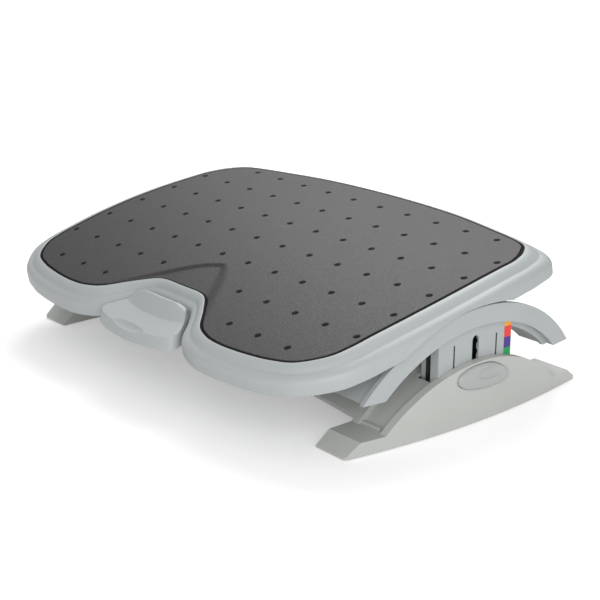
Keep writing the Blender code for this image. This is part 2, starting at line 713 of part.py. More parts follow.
def base_cover(label, side):
    """The plate that closes a foot from below, with the guide post that the column slides on."""
    plan = bowed(FOOT_INNER_X + WALL + FIT, FOOT_OUTER_X - LIP - FIT, FOOT_BOW, FOOT_END - COVER_SHORT)
    part = prism(f"{label}_base_cover", "Z", sided(plan, side), FOOT_BOTTOM, COVER_TOP)
    shoulder = [(20 * MM, POST_TOP), (POST_HALF, POST_TOP - 7 * MM), (POST_HALF, COVER_TOP - 2 * JOIN)]
    section = [(-y, z) for y, z in reversed(shoulder)] + shoulder
    combine(part, prism("post", "X", section, *span(side, *POST_X)), "UNION")
    radius, depth = SPRING_SEAT
    combine(part, rods("spring_seat", [along_x(side * POST_X[1], 0, LATCH_Z)], radius, 2 * depth))
    for end in ENDS.values():
        low, far = span(side, PAD_X - PAD_SIZE[0] / 2 - FIT, PAD_X + PAD_SIZE[0] / 2 + FIT)
        reach = PAD_SIZE[1] / 2 + FIT
        seat = box("pad_seat", (low, end * PAD_Y - reach, -WALL), (far, end * PAD_Y + reach, PAD_SEAT))
        combine(part, seat)
        middle = Matrix.Translation((side * BOSS_X, end * BOSS_Y, 0))
        combine(part, rods("screw_hole", [middle], SCREW_HOLE, HOLE_DEPTH))
        combine(part, rods("head_seat", [middle], HEAD_RADIUS + HEAD_GAP, 2 * (screw_seat() + FIT)))
    return finish(part, INNER_BLACK)


def rubber_foot(name, side, end):
    """One pad under a foot."""
    low, far = span(side, PAD_X - PAD_SIZE[0] / 2, PAD_X + PAD_SIZE[0] / 2)
    reach = PAD_SIZE[1] / 2
    part = box(name, (low, end * PAD_Y - reach, 0), (far, end * PAD_Y + reach, PAD_SEAT - FIT))
    return finish(rounded(part, SHOE_EDGE), BLACK)


def screw_seat():
    """Height at which the base screws' heads bear on the covers."""
    return FOOT_BOTTOM + HEAD_HEIGHT + JOIN / 5


def base_screws():
    """The screws that hold the covers, from below."""
    turn = Matrix.Rotation(math.pi, 4, "X")
    places = [Matrix.Translation((side * BOSS_X, y, screw_seat())) @ turn
              for side in SIDES.values() for y in (-BOSS_Y, BOSS_Y)]
    screws("base_screw", places, BASE_SCREW)


# Height button

def button_outline(grow=0.0):
    """The button's teardrop outline, grown all round."""
    centre = Vector(BUTTON_CENTRE)
    loop = curve_through([Vector(p) * MM for p in BUTTON_OUTLINE], 3)
    return [tuple(spot + (spot - centre).normalized() * grow) for spot in loop]


def height_button(label, side):
    """The push button in the foot's outer wall, with its shank."""
    part = prism(f"{label}_height_button", "X", button_outline(), *span(side, BUTTON_INNER_X, BUTTON_OUTER_X))
    rounded(part, BUTTON_EDGE, 1)
    combine(part, dome("dimple", (side * BUTTON_OUTER_X, *DIMPLE_CENTRE), (DIMPLE_DEPTH, *DIMPLE_HALF)))
    low, high = NOSE_X[1] + FIT, BUTTON_INNER_X + SHANK_SINK
    shank = rods("shank", [along_x(side * (low + high) / 2, 0, LATCH_Z)], SHANK_RADIUS, high - low)
    combine(part, shank, "UNION")
    return finish(part, BUTTON_GREY)


def latch_nose(label, side):
    """The bar on the shank's end that drops into a notch of the column."""
    low, far = span(side, *NOSE_X)
    half = NOSE_THICKNESS / 2
    part = box(f"{label}_latch_nose", (low, -NOSE_HALF, LATCH_Z - half), (far, NOSE_HALF, LATCH_Z + half))
    return finish(rounded(part, 0.5 * MM), STEEL)


def button_spring(label, side):
    """The coil that pushes the nose and button outwards."""
    start = POST_X[0] + 1.8 * MM
    end = NOSE_X[0] - 0.7 * MM
    flip = Matrix.Diagonal((side, 1, 1, 1))
    place = flip @ Matrix.Translation((start, 0, LATCH_Z))
    part = coil(f"{label}_button_spring", 2.9 * MM, 0.3 * MM, end - start, 5, place)
    if side < 0:
        part.data.flip_normals()
    return finish(part, SPRING)


# Lift frame

def arch_frame():
    """The arch: a curved plate between two cheeks, with a box beam beside each cheek."""
    part = prism("arch_frame", "X", arch_ring(PLATE_UNDER, PLATE_TOP, PLATE_SHORT), -BEYOND, BEYOND)
    plan = bowed(0, ARCH_OUTER_X - ARCH_LIP + 2 * JOIN, ARCH_BOW, ARCH_REACH)[1:-1]
    both = plan + [(-x, y) for x, y in reversed(plan)]
    combine(part, prism("plan", "Z", both, 0, BEYOND), "INTERSECT")
    for side in SIDES.values():
        combine(part, arch_cheek(side), "UNION")
        for wall in arch_beam(side):
            combine(part, wall, "UNION")
        slot = ring_sector(PLATE_UNDER - WALL, PLATE_TOP + WALL, -SLOT_HALF_ANGLE, SLOT_HALF_ANGLE, 9, AXIS_HEIGHT)
        reach = SLOT_WIDTH / 2
        combine(part, prism("slot", "X", slot, *span(side, SLOT_X - reach, SLOT_X + reach)))
        holes = [Matrix.Translation((side * sum(RIB_X) / 2, end * COLUMN_SCREW_Y, ledge_height()))
                 for end in ENDS.values()]
        holes += [Matrix.Translation((side * leg_screw_x(), end * LEG_SCREW_Y, leg_screw_z()))
                  for end in ENDS.values()]
        combine(part, rods("screw_holes", holes, SCREW_HOLE, HOLE_DEPTH))
    groove = ring_sector(PLATE_TOP - STRIP_SINK, PLATE_TOP + WALL, STRIP_ANGLES[0] - FIT / PLATE_TOP,
                         STRIP_ANGLES[1] + FIT / PLATE_TOP, 15, AXIS_HEIGHT)
    combine(part, prism("groove", "X", groove, -STRIP_HALF - FIT, STRIP_HALF + FIT))
    return finish(part, RIM_GREY)


def arch_cheek(side):
    """The arch's outer side: a rounded band, with a thinner lip above the plate."""
    root = RIB_X[0] - LIP
    cheek = prism("cheek", "X", arch_ring(ARCH_INNER, ARCH_OUTER), *span(side, root, BEYOND))
    plan = bowed(root - WALL, ARCH_OUTER_X, ARCH_BOW, ARCH_REACH)
    combine(cheek, prism("plan", "Z", sided(plan, side), 0, BEYOND), "INTERSECT")
    rounded(cheek, ARCH_EDGE)
    ledge = PLATE_UNDER + 2 * JOIN
    for depth, inner, outer in ((LIP, ARCH_INNER - WALL, ledge), (ARCH_LIP, ledge - JOIN, ARCH_OUTER + WALL)):
        inside = prism("inside", "X", ring_sector(inner, outer, -ARCH_ANGLE, ARCH_ANGLE, 61, AXIS_HEIGHT),
                       *span(side, root - WALL, BEYOND))
        plan = bowed(root - 2 * WALL, ARCH_OUTER_X - depth, ARCH_BOW, ARCH_REACH)
        combine(inside, prism("plan", "Z", sided(plan, side), -BEYOND, BEYOND), "INTERSECT")
        combine(cheek, inside)
    return cheek


def arch_beam(side):
    """The walls of the box under the plate that runs in the foot's tunnel."""
    rib = prism("rib", "X", arch_ring(BEAM_INNER, PLATE_UNDER + 2 * MM, 2 * PLATE_SHORT), *span(side, *RIB_X))
    plan = bowed(RIB_X[0] - WALL, FOOT_OUTER_X - LIP - BEAM_GAP, FOOT_BOW, ARCH_REACH)
    combine(rib, prism("plan", "Z", sided(plan, side), 0, BEYOND), "INTERSECT")
    low = RIB_OUTER_X + BEAM_GAP
    floor = prism("floor", "X", arch_ring(BEAM_INNER, BEAM_INNER + BEAM_WALL, 0, RIDGE_HEIGHT),
                  *span(side, low, RIB_X[0] + JOIN))
    inner = arch_ring(BEAM_INNER + JOIN, PLATE_UNDER + JOIN, PLATE_SHORT, RIDGE_HEIGHT)
    inner = prism("inner", "X", inner, *span(side, low + JOIN / 5, low + BEAM_WALL))
    return rib, floor, inner


def ledge_height():
    """Height under the beam at which the column screws pass."""
    return math.sqrt(BEAM_INNER ** 2 - COLUMN_SCREW_Y ** 2) + AXIS_HEIGHT


def leg_screw_x():
    """X of the screws that hold the inner legs."""
    return (LEG_X[0] + LEG_X[1] - WALL) / 2


def leg_screw_z():
    """Height under the beam at which those screws pass."""
    return math.sqrt(BEAM_INNER ** 2 - LEG_SCREW_Y ** 2) + AXIS_HEIGHT


def friction_strip():
    """The strip on the arch that the brake grips."""
    section = ring_sector(PLATE_TOP - STRIP_SINK + FIT, PLATE_TOP + STRIP_RISE, *STRIP_ANGLES, 15, AXIS_HEIGHT)
    return finish(prism("tilt_friction_strip", "X", section, -STRIP_HALF, STRIP_HALF), BLACK)


def under_arch(radius, half, bottom, steps=11):
    """An upright panel from a bottom edge up to a ring of the arch."""
    return [(-half, bottom)] + arc(AXIS_HEIGHT, radius, -half, half, steps) + [(half, bottom)]


def column(label, side):
    """The slotted guide that carries the arch and slides down into the foot."""
    part = prism(f"{label}_column", "X", under_arch(COLUMN_TOP, COLUMN_HALF, COLUMN_BOTTOM),
                 *span(side, *COLUMN_WEB_X))
    join_x = COLUMN_WEB_X[0] + JOIN
    rise = BEAM_INNER - FIT
    behind, before = COLUMN_FLANGE_X, COLUMN_WEB_X[1] + WALL
    for end in ENDS.values():
        low, high = sorted((end * (COLUMN_HALF - WALL), end * COLUMN_HALF))
        edge = [(low, COLUMN_BOTTOM)] + arc(AXIS_HEIGHT, rise, low, high, 3) + [(high, COLUMN_BOTTOM)]
        combine(part, prism("flange", "X", edge, *span(side, COLUMN_FLANGE_X, join_x)), "UNION")
        low, high = sorted((end * LEDGE_Y[0], end * (COLUMN_HALF - WALL + JOIN)))
        edge = arc(AXIS_HEIGHT, rise, low, high, 6) + arc(AXIS_HEIGHT, rise - WALL, low, high, 6)[::-1]
        combine(part, prism("ledge", "X", edge, *span(side, LEDGE_INNER_X, join_x)), "UNION")
        place = Matrix.Translation((side * sum(RIB_X) / 2, end * COLUMN_SCREW_Y, ledge_height() - HOLE_DEPTH / 4))
        combine(part, rods("ledge_hole", [place], SCREW_HOLE, HOLE_DEPTH / 2))
        slit = (end * COLUMN_SLIT_Y - SLIT_WIDTH / 2, end * COLUMN_SLIT_Y + SLIT_WIDTH / 2)
        low, far = span(side, behind, before)
        combine(part, box("slit", (low, slit[0], SLIT_Z[0]), (far, slit[1], SLIT_Z[1])))
    reach = LATCH_SLOT_WIDTH / 2
    low, high = LATCH_SLOT_Z[0] + reach, LATCH_SLOT_Z[1] - reach
    angles = [math.pi * i / 10 for i in range(11)]
    slot = [(reach * math.cos(a), high + reach * math.sin(a)) for a in angles]
    slot += [(-reach * math.cos(a), low - reach * math.sin(a)) for a in angles]
    combine(part, prism("latch_slot", "X", slot, *span(side, behind, before)))
    low, far = span(side, behind, COLUMN_WEB_X[0] + NOTCH_DEPTH)
    half = NOSE_THICKNESS / 2 + FIT
    reach = NOSE_HALF + 2 * JOIN
    for stop in range(HEIGHT_STOPS):
        z = LATCH_Z + stop * HEIGHT_STEP
        combine(part, box("notch", (low, -reach, z - half), (far, reach, z + half)))
    seat = prism("scale_seat", "X", scale_outline(FIT), *span(side, COLUMN_WEB_X[1] - 2 * SCALE_THICKNESS, before))
    combine(part, seat)
    return finish(part, RIM_GREY)


def scale_outline(grow=0.0):
    """The height scale's outline on the column, grown all round but at its outer edge."""
    high = COLUMN_HALF - SCALE_MARGIN
    low = high - SCALE_WIDTH
    high += min(grow, SCALE_MARGIN / 2)
    low -= grow
    top = arc(AXIS_HEIGHT, COLUMN_TOP - 2 * SCALE_MARGIN + grow, low, high, 4)
    return [(low, SCALE_BOTTOM - grow)] + top + [(high, SCALE_BOTTOM - grow)]


def height_scale(label, side):
    """The coloured strip that shows the height setting."""
    outer = COLUMN_WEB_X[1]
    part = prism(f"{label}_height_scale", "X", scale_outline(), *span(side, outer - SCALE_THICKNESS, outer))
    return finish(part, LABEL)


def inner_leg(label, side):
    """The channel behind the column, hung from the arch's beam."""
    rise = BEAM_INNER - FIT
    part = prism(f"{label}_inner_leg", "X", under_arch(rise, LEG_HALF, COLUMN_BOTTOM),
                 *span(side, LEG_X[1] - WALL, LEG_X[1]))
    join_x = LEG_X[1] - WALL / 2
    cap = arc(AXIS_HEIGHT, rise, -LEG_HALF, LEG_HALF, 9)
    cap += arc(AXIS_HEIGHT, rise - WALL, -LEG_HALF, LEG_HALF, 9)[::-1]
    combine(part, prism("cap", "X", cap, *span(side, LEG_X[0], join_x)), "UNION")
    for end in ENDS.values():
        low, high = sorted((end * (LEG_HALF - WALL), end * LEG_HALF))
        reach = rise - WALL / 2
        edge = [(low, COLUMN_BOTTOM)] + arc(AXIS_HEIGHT, reach, low, high, 3) + [(high, COLUMN_BOTTOM)]
        combine(part, prism("flange", "X", edge, *span(side, LEG_X[0], join_x)), "UNION")
    holes = [Matrix.Translation((side * leg_screw_x(), end * LEG_SCREW_Y, leg_screw_z() - HOLE_DEPTH / 4))
             for end in ENDS.values()]
    combine(part, rods("leg_holes", holes, SCREW_HOLE, HOLE_DEPTH / 2))
    return finish(part, INNER_GREY)


def head_height(y):
    """Height at which a screw's flat head bears on the curved underside of a ledge or cap at Y."""
    return math.sqrt((BEAM_INNER - FIT - WALL) ** 2 - (abs(y) + HEAD_RADIUS) ** 2) + AXIS_HEIGHT - FIT / 3


def frame_screws():
    """The screws that hold the columns and inner legs to the arch, from below."""
    turn = Matrix.Rotation(math.pi, 4, "X")
    for name, x, y in (("column_screw", sum(RIB_X) / 2, COLUMN_SCREW_Y), ("leg_screw", leg_screw_x(), LEG_SCREW_Y)):
        places = [Matrix.Translation((side * x, end * y, head_height(y))) @ turn
                  for side in SIDES.values() for end in ENDS.values()]
        screws(name, places, FRAME_SCREW)


# Platform

def platform_shell(tilt):
    """The crowned tray with its rim and skirt, its ribs and the lugs for the pins."""
    mat, rim = smooth_loop(MAT_OUTLINE), smooth_loop(RIM_OUTLINE)
    rings = []
    for share, depth in RIM_SECTION:
        ring = [m.lerp(r, share) for m, r in zip(mat, rim)]
        rings.append([(p.x, p.y, crown(p.y, depth * MM)) for p in ring])
    part = loft("platform_shell", rings, capped=False)
    plan = [tuple(m.lerp(r, TRAY_SHARE)) for m, r in zip(mat, rim)]
    combine(part, slab("tray", plan, TRAY_SEAT, TRAY_UNDER), "UNION")
    for tool in tray_ribs():
        combine(part, tool, "UNION")
    sweep = ring_sector(BEAM_INNER, ARCH_OUTER + SKIRT_GAP, -ARCH_ANGLE, ARCH_ANGLE, 37)
    combine(part, prism("sweep", "X", sweep, -BEYOND, BEYOND))
    lug = LUG_RADIUS
    for (y, z), span_x in ((PEDAL_PIVOT, PEDAL_LUG_X), (BRAKE_PIVOT, BRAKE_LUG_X)):
        top = crown(y, TRAY_UNDER - 2 * JOIN)
        low_arc = [(y - lug * math.cos(a), z - lug * math.sin(a)) for a in
                   [math.pi * i / 8 for i in range(9)]]
        outline = [(y - lug, top)] + low_arc + [(y + lug, top)]
        for side in SIDES.values():
            combine(part, prism("lug", "X", outline, *span(side, *span_x)), "UNION")
        combine(part, rods("pin_hole", [along_x(0, y, z)], PIN_HOLE, 2 * (span_x[1] + WALL)))
    front, back = WINDOW_Y
    window = box("window", (-WINDOW_HALF, front, BEAM_INNER), (WINDOW_HALF, back, ARM_Z[1] + WINDOW_GAP))
    combine(part, window)
    places = [Matrix.Translation((x, y, crown(y, TRAY_SEAT))) for x, y in tray_screws()]
    combine(part, rods("screw_holes", places, SCREW_HOLE, HOLE_DEPTH))
    combine(part, rods("head_seats", places, HEAD_RADIUS + HEAD_GAP, 2 * HEAD_HEIGHT + 2 * FIT))
    return finish(part, RIM_GREY, tilt)


def tray_ribs():
    """Stiffening ribs under the tray, deep at its edges where the arch leaves room."""
    half = RIB_THICKNESS / 2
    root = TRAY_UNDER - JOIN
    stations = [ARCH_REACH * (2 * i / 7 - 1) for i in range(8)]
    section = [(y, crown(y, root)) for y in stations]
    section += [(y, crown(y, RIB_DEPTH)) for y in reversed(stations)]
    spots = [side * x for side in SIDES.values() for x in RIB_SPOTS_X]
    ribs = [prism("rib", "X", section, x - half, x + half) for x in spots]
    for y in RIB_SPOTS_Y:
        start = PEDAL_BAY_X if y < 0 else 0
        for side in SIDES.values():
            low, far = span(side, start, RIB_END_X)
            ribs.append(box("rib", (low, y - half, crown(y, RIB_DEPTH)), (far, y + half, crown(y, root))))
    return ribs


def shoe_middle():
    """Y of the middle of a glide shoe."""
    return RIDE_RADIUS * math.sin(sum(SHOE_ANGLES) / 2)


def tray_screws():
    """X and Y of the screws that come down through the tray."""
    spots = ((SHOE_X, shoe_middle()), (SLOT_X, KEEPER_SCREW_Y))
    return [(side * x, end * y) for x, y in spots for side in SIDES.values() for end in ENDS.values()]


def platform_screws(tilt):
    """The screws that hold the shoes and keepers under the tray."""
    places = [Matrix.Translation((x, y, crown(y, TRAY_SEAT) - HEAD_HEIGHT)) for x, y in tray_screws()]
    screws("platform_screw", places, PLATFORM_SCREW, tilt)


def glide_shoe(name, side, end, tilt):
    """A block that slides on the arch plate and bears the platform."""
    stations = [end * (SHOE_ANGLES[0] + (SHOE_ANGLES[1] - SHOE_ANGLES[0]) * i / 8) for i in range(9)]
    section = [(RIDE_RADIUS * math.sin(a), RIDE_RADIUS * math.cos(a)) for a in stations]
    section += [(y, crown(y, TRAY_UNDER + FIT)) for y, _ in reversed(section)]
    part = prism(name, "X", section, *span(side, SHOE_X - SHOE_HALF, SHOE_X + SHOE_HALF))
    rounded(part, SHOE_EDGE, 1)
    y = end * shoe_middle()
    hole = Matrix.Translation((side * SHOE_X, y, crown(y, TRAY_UNDER)))
    combine(part, rods("screw_hole", [hole], SCREW_HOLE, HOLE_DEPTH))
    return finish(part, ACETAL, tilt)


def keeper(label, side, tilt):
    """The tongue that runs in the arch's slot and hooks under the plate."""
    angle = KEEPER_HALF_ANGLE
    head_top = PLATE_UNDER - KEEPER_GAP
    head_low = head_top - KEEPER_HEAD_DEPTH
    reach = CROWN_TOP * math.sin(angle)
    stem = [(y, crown(y, TRAY_UNDER + FIT)) for y in (-reach, -reach / 3, reach / 3, reach)]
    root = head_low + 2 * JOIN
    stem += [(end * root * math.sin(angle), root * math.cos(angle)) for end in (1, -1)]
    part = prism(f"{label}_keeper", "X", stem,
                 *span(side, SLOT_X - KEEPER_STEM_HALF, SLOT_X + KEEPER_STEM_HALF))
    head = prism("head", "X", ring_sector(head_low, head_top, -angle, angle, 7),
                 *span(side, SLOT_X - KEEPER_HEAD_HALF, SLOT_X + KEEPER_HEAD_HALF))
    combine(part, head, "UNION")
    holes = [Matrix.Translation((side * SLOT_X, end * KEEPER_SCREW_Y, crown(0, TRAY_UNDER)))
             for end in ENDS.values()]
    combine(part, rods("screw_holes", holes, SCREW_HOLE, HOLE_DEPTH))
    return finish(part, ACETAL, tilt)


def foot_mat(tilt):
    """The perforated rubber mat with its sloped field behind the pedal."""
    part = slab("foot_mat", [tuple(p) for p in smooth_loop(MAT_OUTLINE)], 0, MAT_THICKNESS)
    places = []
    for row, columns in enumerate(HOLE_ROWS):
        y = (row - (len(HOLE_ROWS) - 1) / 2) * HOLE_PITCH[1]
        places += [Matrix.Translation(((i - (len(FULL_ROW) - 1) / 2) * HOLE_PITCH[0], y, crown(y)))
                   for i in columns]
    combine(part, rods("holes", places, HOLE_RADIUS, HOLE_DEPTH, 8))
    sections = []
    for fold, edge in zip(mirrored(FOLD), mirrored(FIELD_EDGE)):
        fold = Vector(fold)
        beyond = Vector(edge) - Vector((0, FIELD_BEYOND))
        run = max((beyond - fold).length, 2 * JOIN)
        drop = FIELD_DEPTH * min(1, run / FIELD_RUN)
        step = fold.lerp(beyond, min(FIELD_STEP / run, 0.5))
        points = [(fold, 0), (step, drop / 2), (beyond, drop), (beyond, -2 * HEAD_RADIUS), (fold, -2 * HEAD_RADIUS)]
        sections.append([(p.x, p.y, crown(p.y, depth)) for p, depth in points])
    combine(part, loft("field", sections, capped=True))
    return finish(part, CHARCOAL, tilt)


def pin(name, pivot, half, tilt):
    """A hinge pin along X."""
    part = rods(name, [along_x(0, *pivot)], PIN_RADIUS, 2 * half)
    return finish(part, STEEL, tilt)


# Pedal and brake

def pedal_loop(half, inset):
    """A pedal outline of both halves, drawn in all round by an inset."""
    points = smooth_loop(half)
    count = len(points)
    loop = []
    for i, point in enumerate(points):
        along = points[(i + 1) % count] - points[i - 1]
        inward = Vector((-along.y, along.x)).normalized()
        loop.append(point + inward * inset)
    return loop


def pedal_blank(name, inset, bottom):
    """The pedal's outer form, or the hollow inside it when drawn in by an inset."""
    low, high = pedal_loop(PEDAL_FOOT, inset), pedal_loop(PEDAL_BROW, inset)
    rings = []
    for share in ((bottom - PEDAL_BOTTOM) / PEDAL_RISE, 1):
        ring = [a.lerp(b, share) for a, b in zip(low, high)]
        rings.append([(p.x, p.y, PEDAL_BOTTOM + PEDAL_RISE * share) for p in ring])
    part = loft(name, rings, capped=True)
    top, floor = CROWN_TOP - inset, bottom - WALL
    side = [(y * MM, top - depth * MM) for y, depth in PEDAL_PROFILE]
    side += [(side[-1][0], floor), (side[0][0], floor)]
    combine(part, prism("side", "X", side, -BEYOND, BEYOND), "INTERSECT")
    front = [(x, top - y) for x, y in mirrored(PEDAL_FRONT)]
    front += [(front[-1][0], floor), (front[0][0], floor)]
    combine(part, prism("front", "Y", front, -BEYOND, 0), "INTERSECT")
    return combine(part, tread_space(inset))


def tread_space(inset):
    """The space over the tread, bounded behind by the riser that climbs to the wedge's crest."""
    start = PEDAL_TREAD[0][0] * MM
    sections = []
    for (x, crease), (_, crest) in zip(mirrored(PEDAL_CREASE), mirrored(PEDAL_CREST)):
        low = between(PEDAL_TREAD, crease / MM) * MM
        high = min(between(PEDAL_FRONT, abs(x) / MM) * MM, low - 2 * JOIN)
        line = [(start, PEDAL_TREAD[0][1] * MM)]
        line += [(crease + (crest - crease) * share, low + (high - low) * rise) for share, rise in PEDAL_RISER]
        line += [(crest, -WALL), (start, -WALL)]
        sections.append([(x, y + inset / 2, CROWN_TOP - inset - depth) for y, depth in line])
    return loft("tread_space", sections, capped=True)


def release_pedal(axis):
    """The foot pedal that frees the tilt, with the arms that reach back to its pin."""
    part = rounded(pedal_blank("release_pedal", 0, PEDAL_BOTTOM), PEDAL_EDGE, 1)
    hollow = pedal_blank("hollow", PEDAL_SHELL, PEDAL_BOTTOM - PEDAL_SHELL)
    combine(hollow, dome("scoop_wall", SCOOP_CENTRE, [half + PEDAL_SHELL for half in SCOOP_HALF]))
    combine(part, hollow)
    combine(part, dome("scoop", SCOOP_CENTRE, SCOOP_HALF))
    y, z = PEDAL_PIVOT
    tail = ARM_Y[1] - JOIN
    for side in SIDES.values():
        low, far = span(side, *ARM_X)
        arm = box("arm", (low, ARM_Y[0], ARM_Z[0]), (far, ARM_Y[1], ARM_Z[1]))
        combine(part, arm, "UNION")
        front, back = ARM_WEB_Y
        web = box("web", (low + JOIN, front, PEDAL_BOTTOM + 4 * JOIN),
                  (far - JOIN, back, CROWN_TOP - ARM_WEB_DEPTH))
        combine(part, web, "UNION")
    reach = ARM_X[1] - 2 * JOIN
    bar = box("bar", (-reach, tail - ARM_BAR, ARM_Z[0] + 2 * JOIN), (reach, tail, BAR_TOP))
    combine(part, bar, "UNION")
    combine(part, rods("pin_hole", [along_x(0, y, z)], PIN_HOLE, 2 * (ARM_X[1] + WALL)))
    return finish(part, RIM_GREY, axis, (0, y, z))


def brake_arm(axis):
    """The lever that the pedal's tail lifts, with the holder of the brake shoe."""
    y, z = BRAKE_PIVOT
    eye = BRAKE_EYE
    underside = BAR_TOP + FIT
    turn = [(y + eye * math.cos(a), z + eye * math.sin(a))
            for a in [math.pi / 2 - math.pi * i / 8 for i in range(9)]]
    front, back = BRAKE_SHOE_Y[0] - BRAKE_HOLDER, BRAKE_SHOE_Y[1] + BRAKE_HOLDER
    outline = turn + [(back, z - eye), (back, shoe_seat(back)), (front, shoe_seat(front)), (front, underside)]
    outline += [(BRAKE_ARM_END, underside), (BRAKE_ARM_END, underside + BRAKE_ARM_THICKNESS)]
    part = prism("brake_arm", "X", outline, -BRAKE_ARM_HALF, BRAKE_ARM_HALF)
    combine(part, rods("pin_hole", [along_x(0, y, z)], PIN_HOLE, 2 * (BRAKE_ARM_HALF + WALL)))
    return finish(rounded(part, BRAKE_EDGE, 1, 60), INNER_GREY, axis, (0, y, z))


def shoe_face(y):
    """Height of the brake shoe's gripping face."""
    return math.sqrt(RIDE_RADIUS ** 2 - y ** 2)


def shoe_seat(y):
    """Height of the straight seat that the brake shoe sits against."""
    front, back = BRAKE_SHOE_Y
    share = (y - front) / (back - front)
    return shoe_face(front) + share * (shoe_face(back) - shoe_face(front)) + BRAKE_SHOE_THICKNESS


def brake_shoe(axis):
    """The rubber block that grips the strip on the arch."""
    front, back = BRAKE_SHOE_Y
    stations = [front + (back - front) * i / 6 for i in range(7)]
    section = [(y, shoe_face(y)) for y in stations]
    top = [(y, shoe_seat(y) - FIT) for y in (back, front)]
    reach = STRIP_HALF - 2 * JOIN
    part = prism("brake_shoe", "X", section + top, -reach, reach)
    return finish(part, BLACK, axis, (0, *BRAKE_PIVOT))


def pedal_spring(axis):
    """A torsion coil round the pedal's pin, with a leg at each end."""
    y, z = PEDAL_PIVOT
    reach, radius = PEDAL_SPRING_REACH, PEDAL_SPRING_RADIUS
    front, back = PEDAL_SPRING_LEGS
    curve = bpy.data.curves.new("pedal_spring", "CURVE")
    curve.dimensions = "3D"
    curve.bevel_depth = PEDAL_SPRING_WIRE
    curve.bevel_resolution = 0
    curve.use_fill_caps = True
    line = curve.splines.new("POLY")
    steps, turns = 8, 5
    count = steps * turns
    points = [(reach, y - front, z + radius)]
    for i in range(count + 1):
        angle = math.pi / 2 + 2 * math.pi * i / steps
        points.append((reach - 2 * reach * i / count, y + radius * math.cos(angle), z + radius * math.sin(angle)))
    points.append((-reach, y + back, z + radius))
    line.points.add(len(points) - 1)
    for point, place in zip(line.points, points):
        point.co = (*place, 1)
    return finish(bake(add("pedal_spring", curve)), SPRING, axis, (0, y, z))


# Assembly

def build():
    """Makes every part and hangs the moving ones on their axes."""
    base_frame()
    base_screws()
    arch_frame()
    friction_strip()
    frame_screws()
    for label, side in SIDES.items():
        base_cover(label, side)
        height_button(label, side)
        latch_nose(label, side)
        button_spring(label, side)
        column(label, side)
        inner_leg(label, side)
        height_scale(label, side)
        for end_name, end in ENDS.items():
            rubber_foot(f"{end_name}_{label}_rubber_foot", side, end)
    tilt = axis_empty("tilt_axis", (0, 0, AXIS_HEIGHT), turn=TILT)
    platform_shell(tilt)
    platform_screws(tilt)
    foot_mat(tilt)
    for label, side in SIDES.items():
        keeper(label, side, tilt)
        for end_name, end in ENDS.items():
            glide_shoe(f"{end_name}_{label}_glide_shoe", side, end, tilt)
    pin("pedal_pin", PEDAL_PIVOT, PEDAL_LUG_X[1] + PIN_END, tilt)
    pin("brake_pin", BRAKE_PIVOT, BRAKE_LUG_X[1] + PIN_END, tilt)
    pedal = axis_empty("pedal_axis", (0, *PEDAL_PIVOT), tilt)
    brake = axis_empty("brake_axis", (0, *BRAKE_PIVOT), tilt)
    release_pedal(pedal)
    brake_arm(brake)
    brake_shoe(brake)
    pedal_spring(pedal)


build()
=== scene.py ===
"""Looks of a tilting desk footrest: its finer shells, its finishes and its studio."""

import json
import math

import bmesh
import bpy
from bpy.props import FloatProperty, FloatVectorProperty, PointerProperty
from mathutils import Matrix, Vector


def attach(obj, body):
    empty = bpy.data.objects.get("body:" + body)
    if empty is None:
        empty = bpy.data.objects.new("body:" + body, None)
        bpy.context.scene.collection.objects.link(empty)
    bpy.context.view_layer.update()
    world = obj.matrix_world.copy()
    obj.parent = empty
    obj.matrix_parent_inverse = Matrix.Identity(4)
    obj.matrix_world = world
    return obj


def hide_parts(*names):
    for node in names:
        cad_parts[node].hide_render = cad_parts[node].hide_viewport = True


bl_info = {
    "name": "Footrest look",
    "version": (1, 0, 0),
    "blender": (4, 5, 0),
    "location": "3D View > Sidebar > Footrest",
    "description": "Dresses a tilting desk footrest and sets its studio",
    "category": "Object",
}

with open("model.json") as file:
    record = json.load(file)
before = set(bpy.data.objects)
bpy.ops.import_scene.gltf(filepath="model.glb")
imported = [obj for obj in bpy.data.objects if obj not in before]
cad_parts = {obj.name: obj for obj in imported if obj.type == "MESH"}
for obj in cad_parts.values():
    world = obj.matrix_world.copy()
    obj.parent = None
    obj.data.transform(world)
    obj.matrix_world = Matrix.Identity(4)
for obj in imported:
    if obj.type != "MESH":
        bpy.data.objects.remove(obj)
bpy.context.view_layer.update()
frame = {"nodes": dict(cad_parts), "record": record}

MM = 0.001
SIDES = (1, -1)
LABELS = (("right", 1), ("left", -1))
FIT = 0.3 * MM
JOIN = 0.5 * MM
WALL = 3 * MM
BEYOND = 300 * MM
# How far the finer shapes stand inside the faceted CAD
INSIDE = 0.05 * MM
# Points closer than this are one point, and cuts closer than this to a point go through it
MERGE_GAP = 0.002 * MM
CUT_GAP = 0.001 * MM
# Steps in a curve between two of its points, and round a rod or a dome
OUTLINE_STEPS = 8
PLAN_STEPS = 6
RISER_STEPS = 4
ROD_SEGMENTS = 28
DOME_SEGMENTS = (64, 32)
# Steps along the platform's crown, its ribs, and the long arcs of arch and base
CROWN_STEPS = 60
RIB_STEPS = 30
PLATE_STEPS = 91
HUMP_STEPS = 81
TUNNEL_STEPS = 71
ROOM_STEPS = 51
SWEEP_STEPS = 161
LEDGE_STEPS = 181
SLOT_STEPS = 39
GROOVE_STEPS = 45
VAULT_STEPS = 47
LUG_STEPS = 16

# Where the base and the tilt axis stand in the frame
STAND_Y = 28.4 * MM
AXIS_HEIGHT = -64 * MM
TILT = math.radians(10.356)
ON_STAND = Matrix.Translation((0, STAND_Y, 0))
ON_PLATFORM = Matrix.Translation((0, STAND_Y, AXIS_HEIGHT)) @ Matrix.Rotation(TILT, 4, "X")

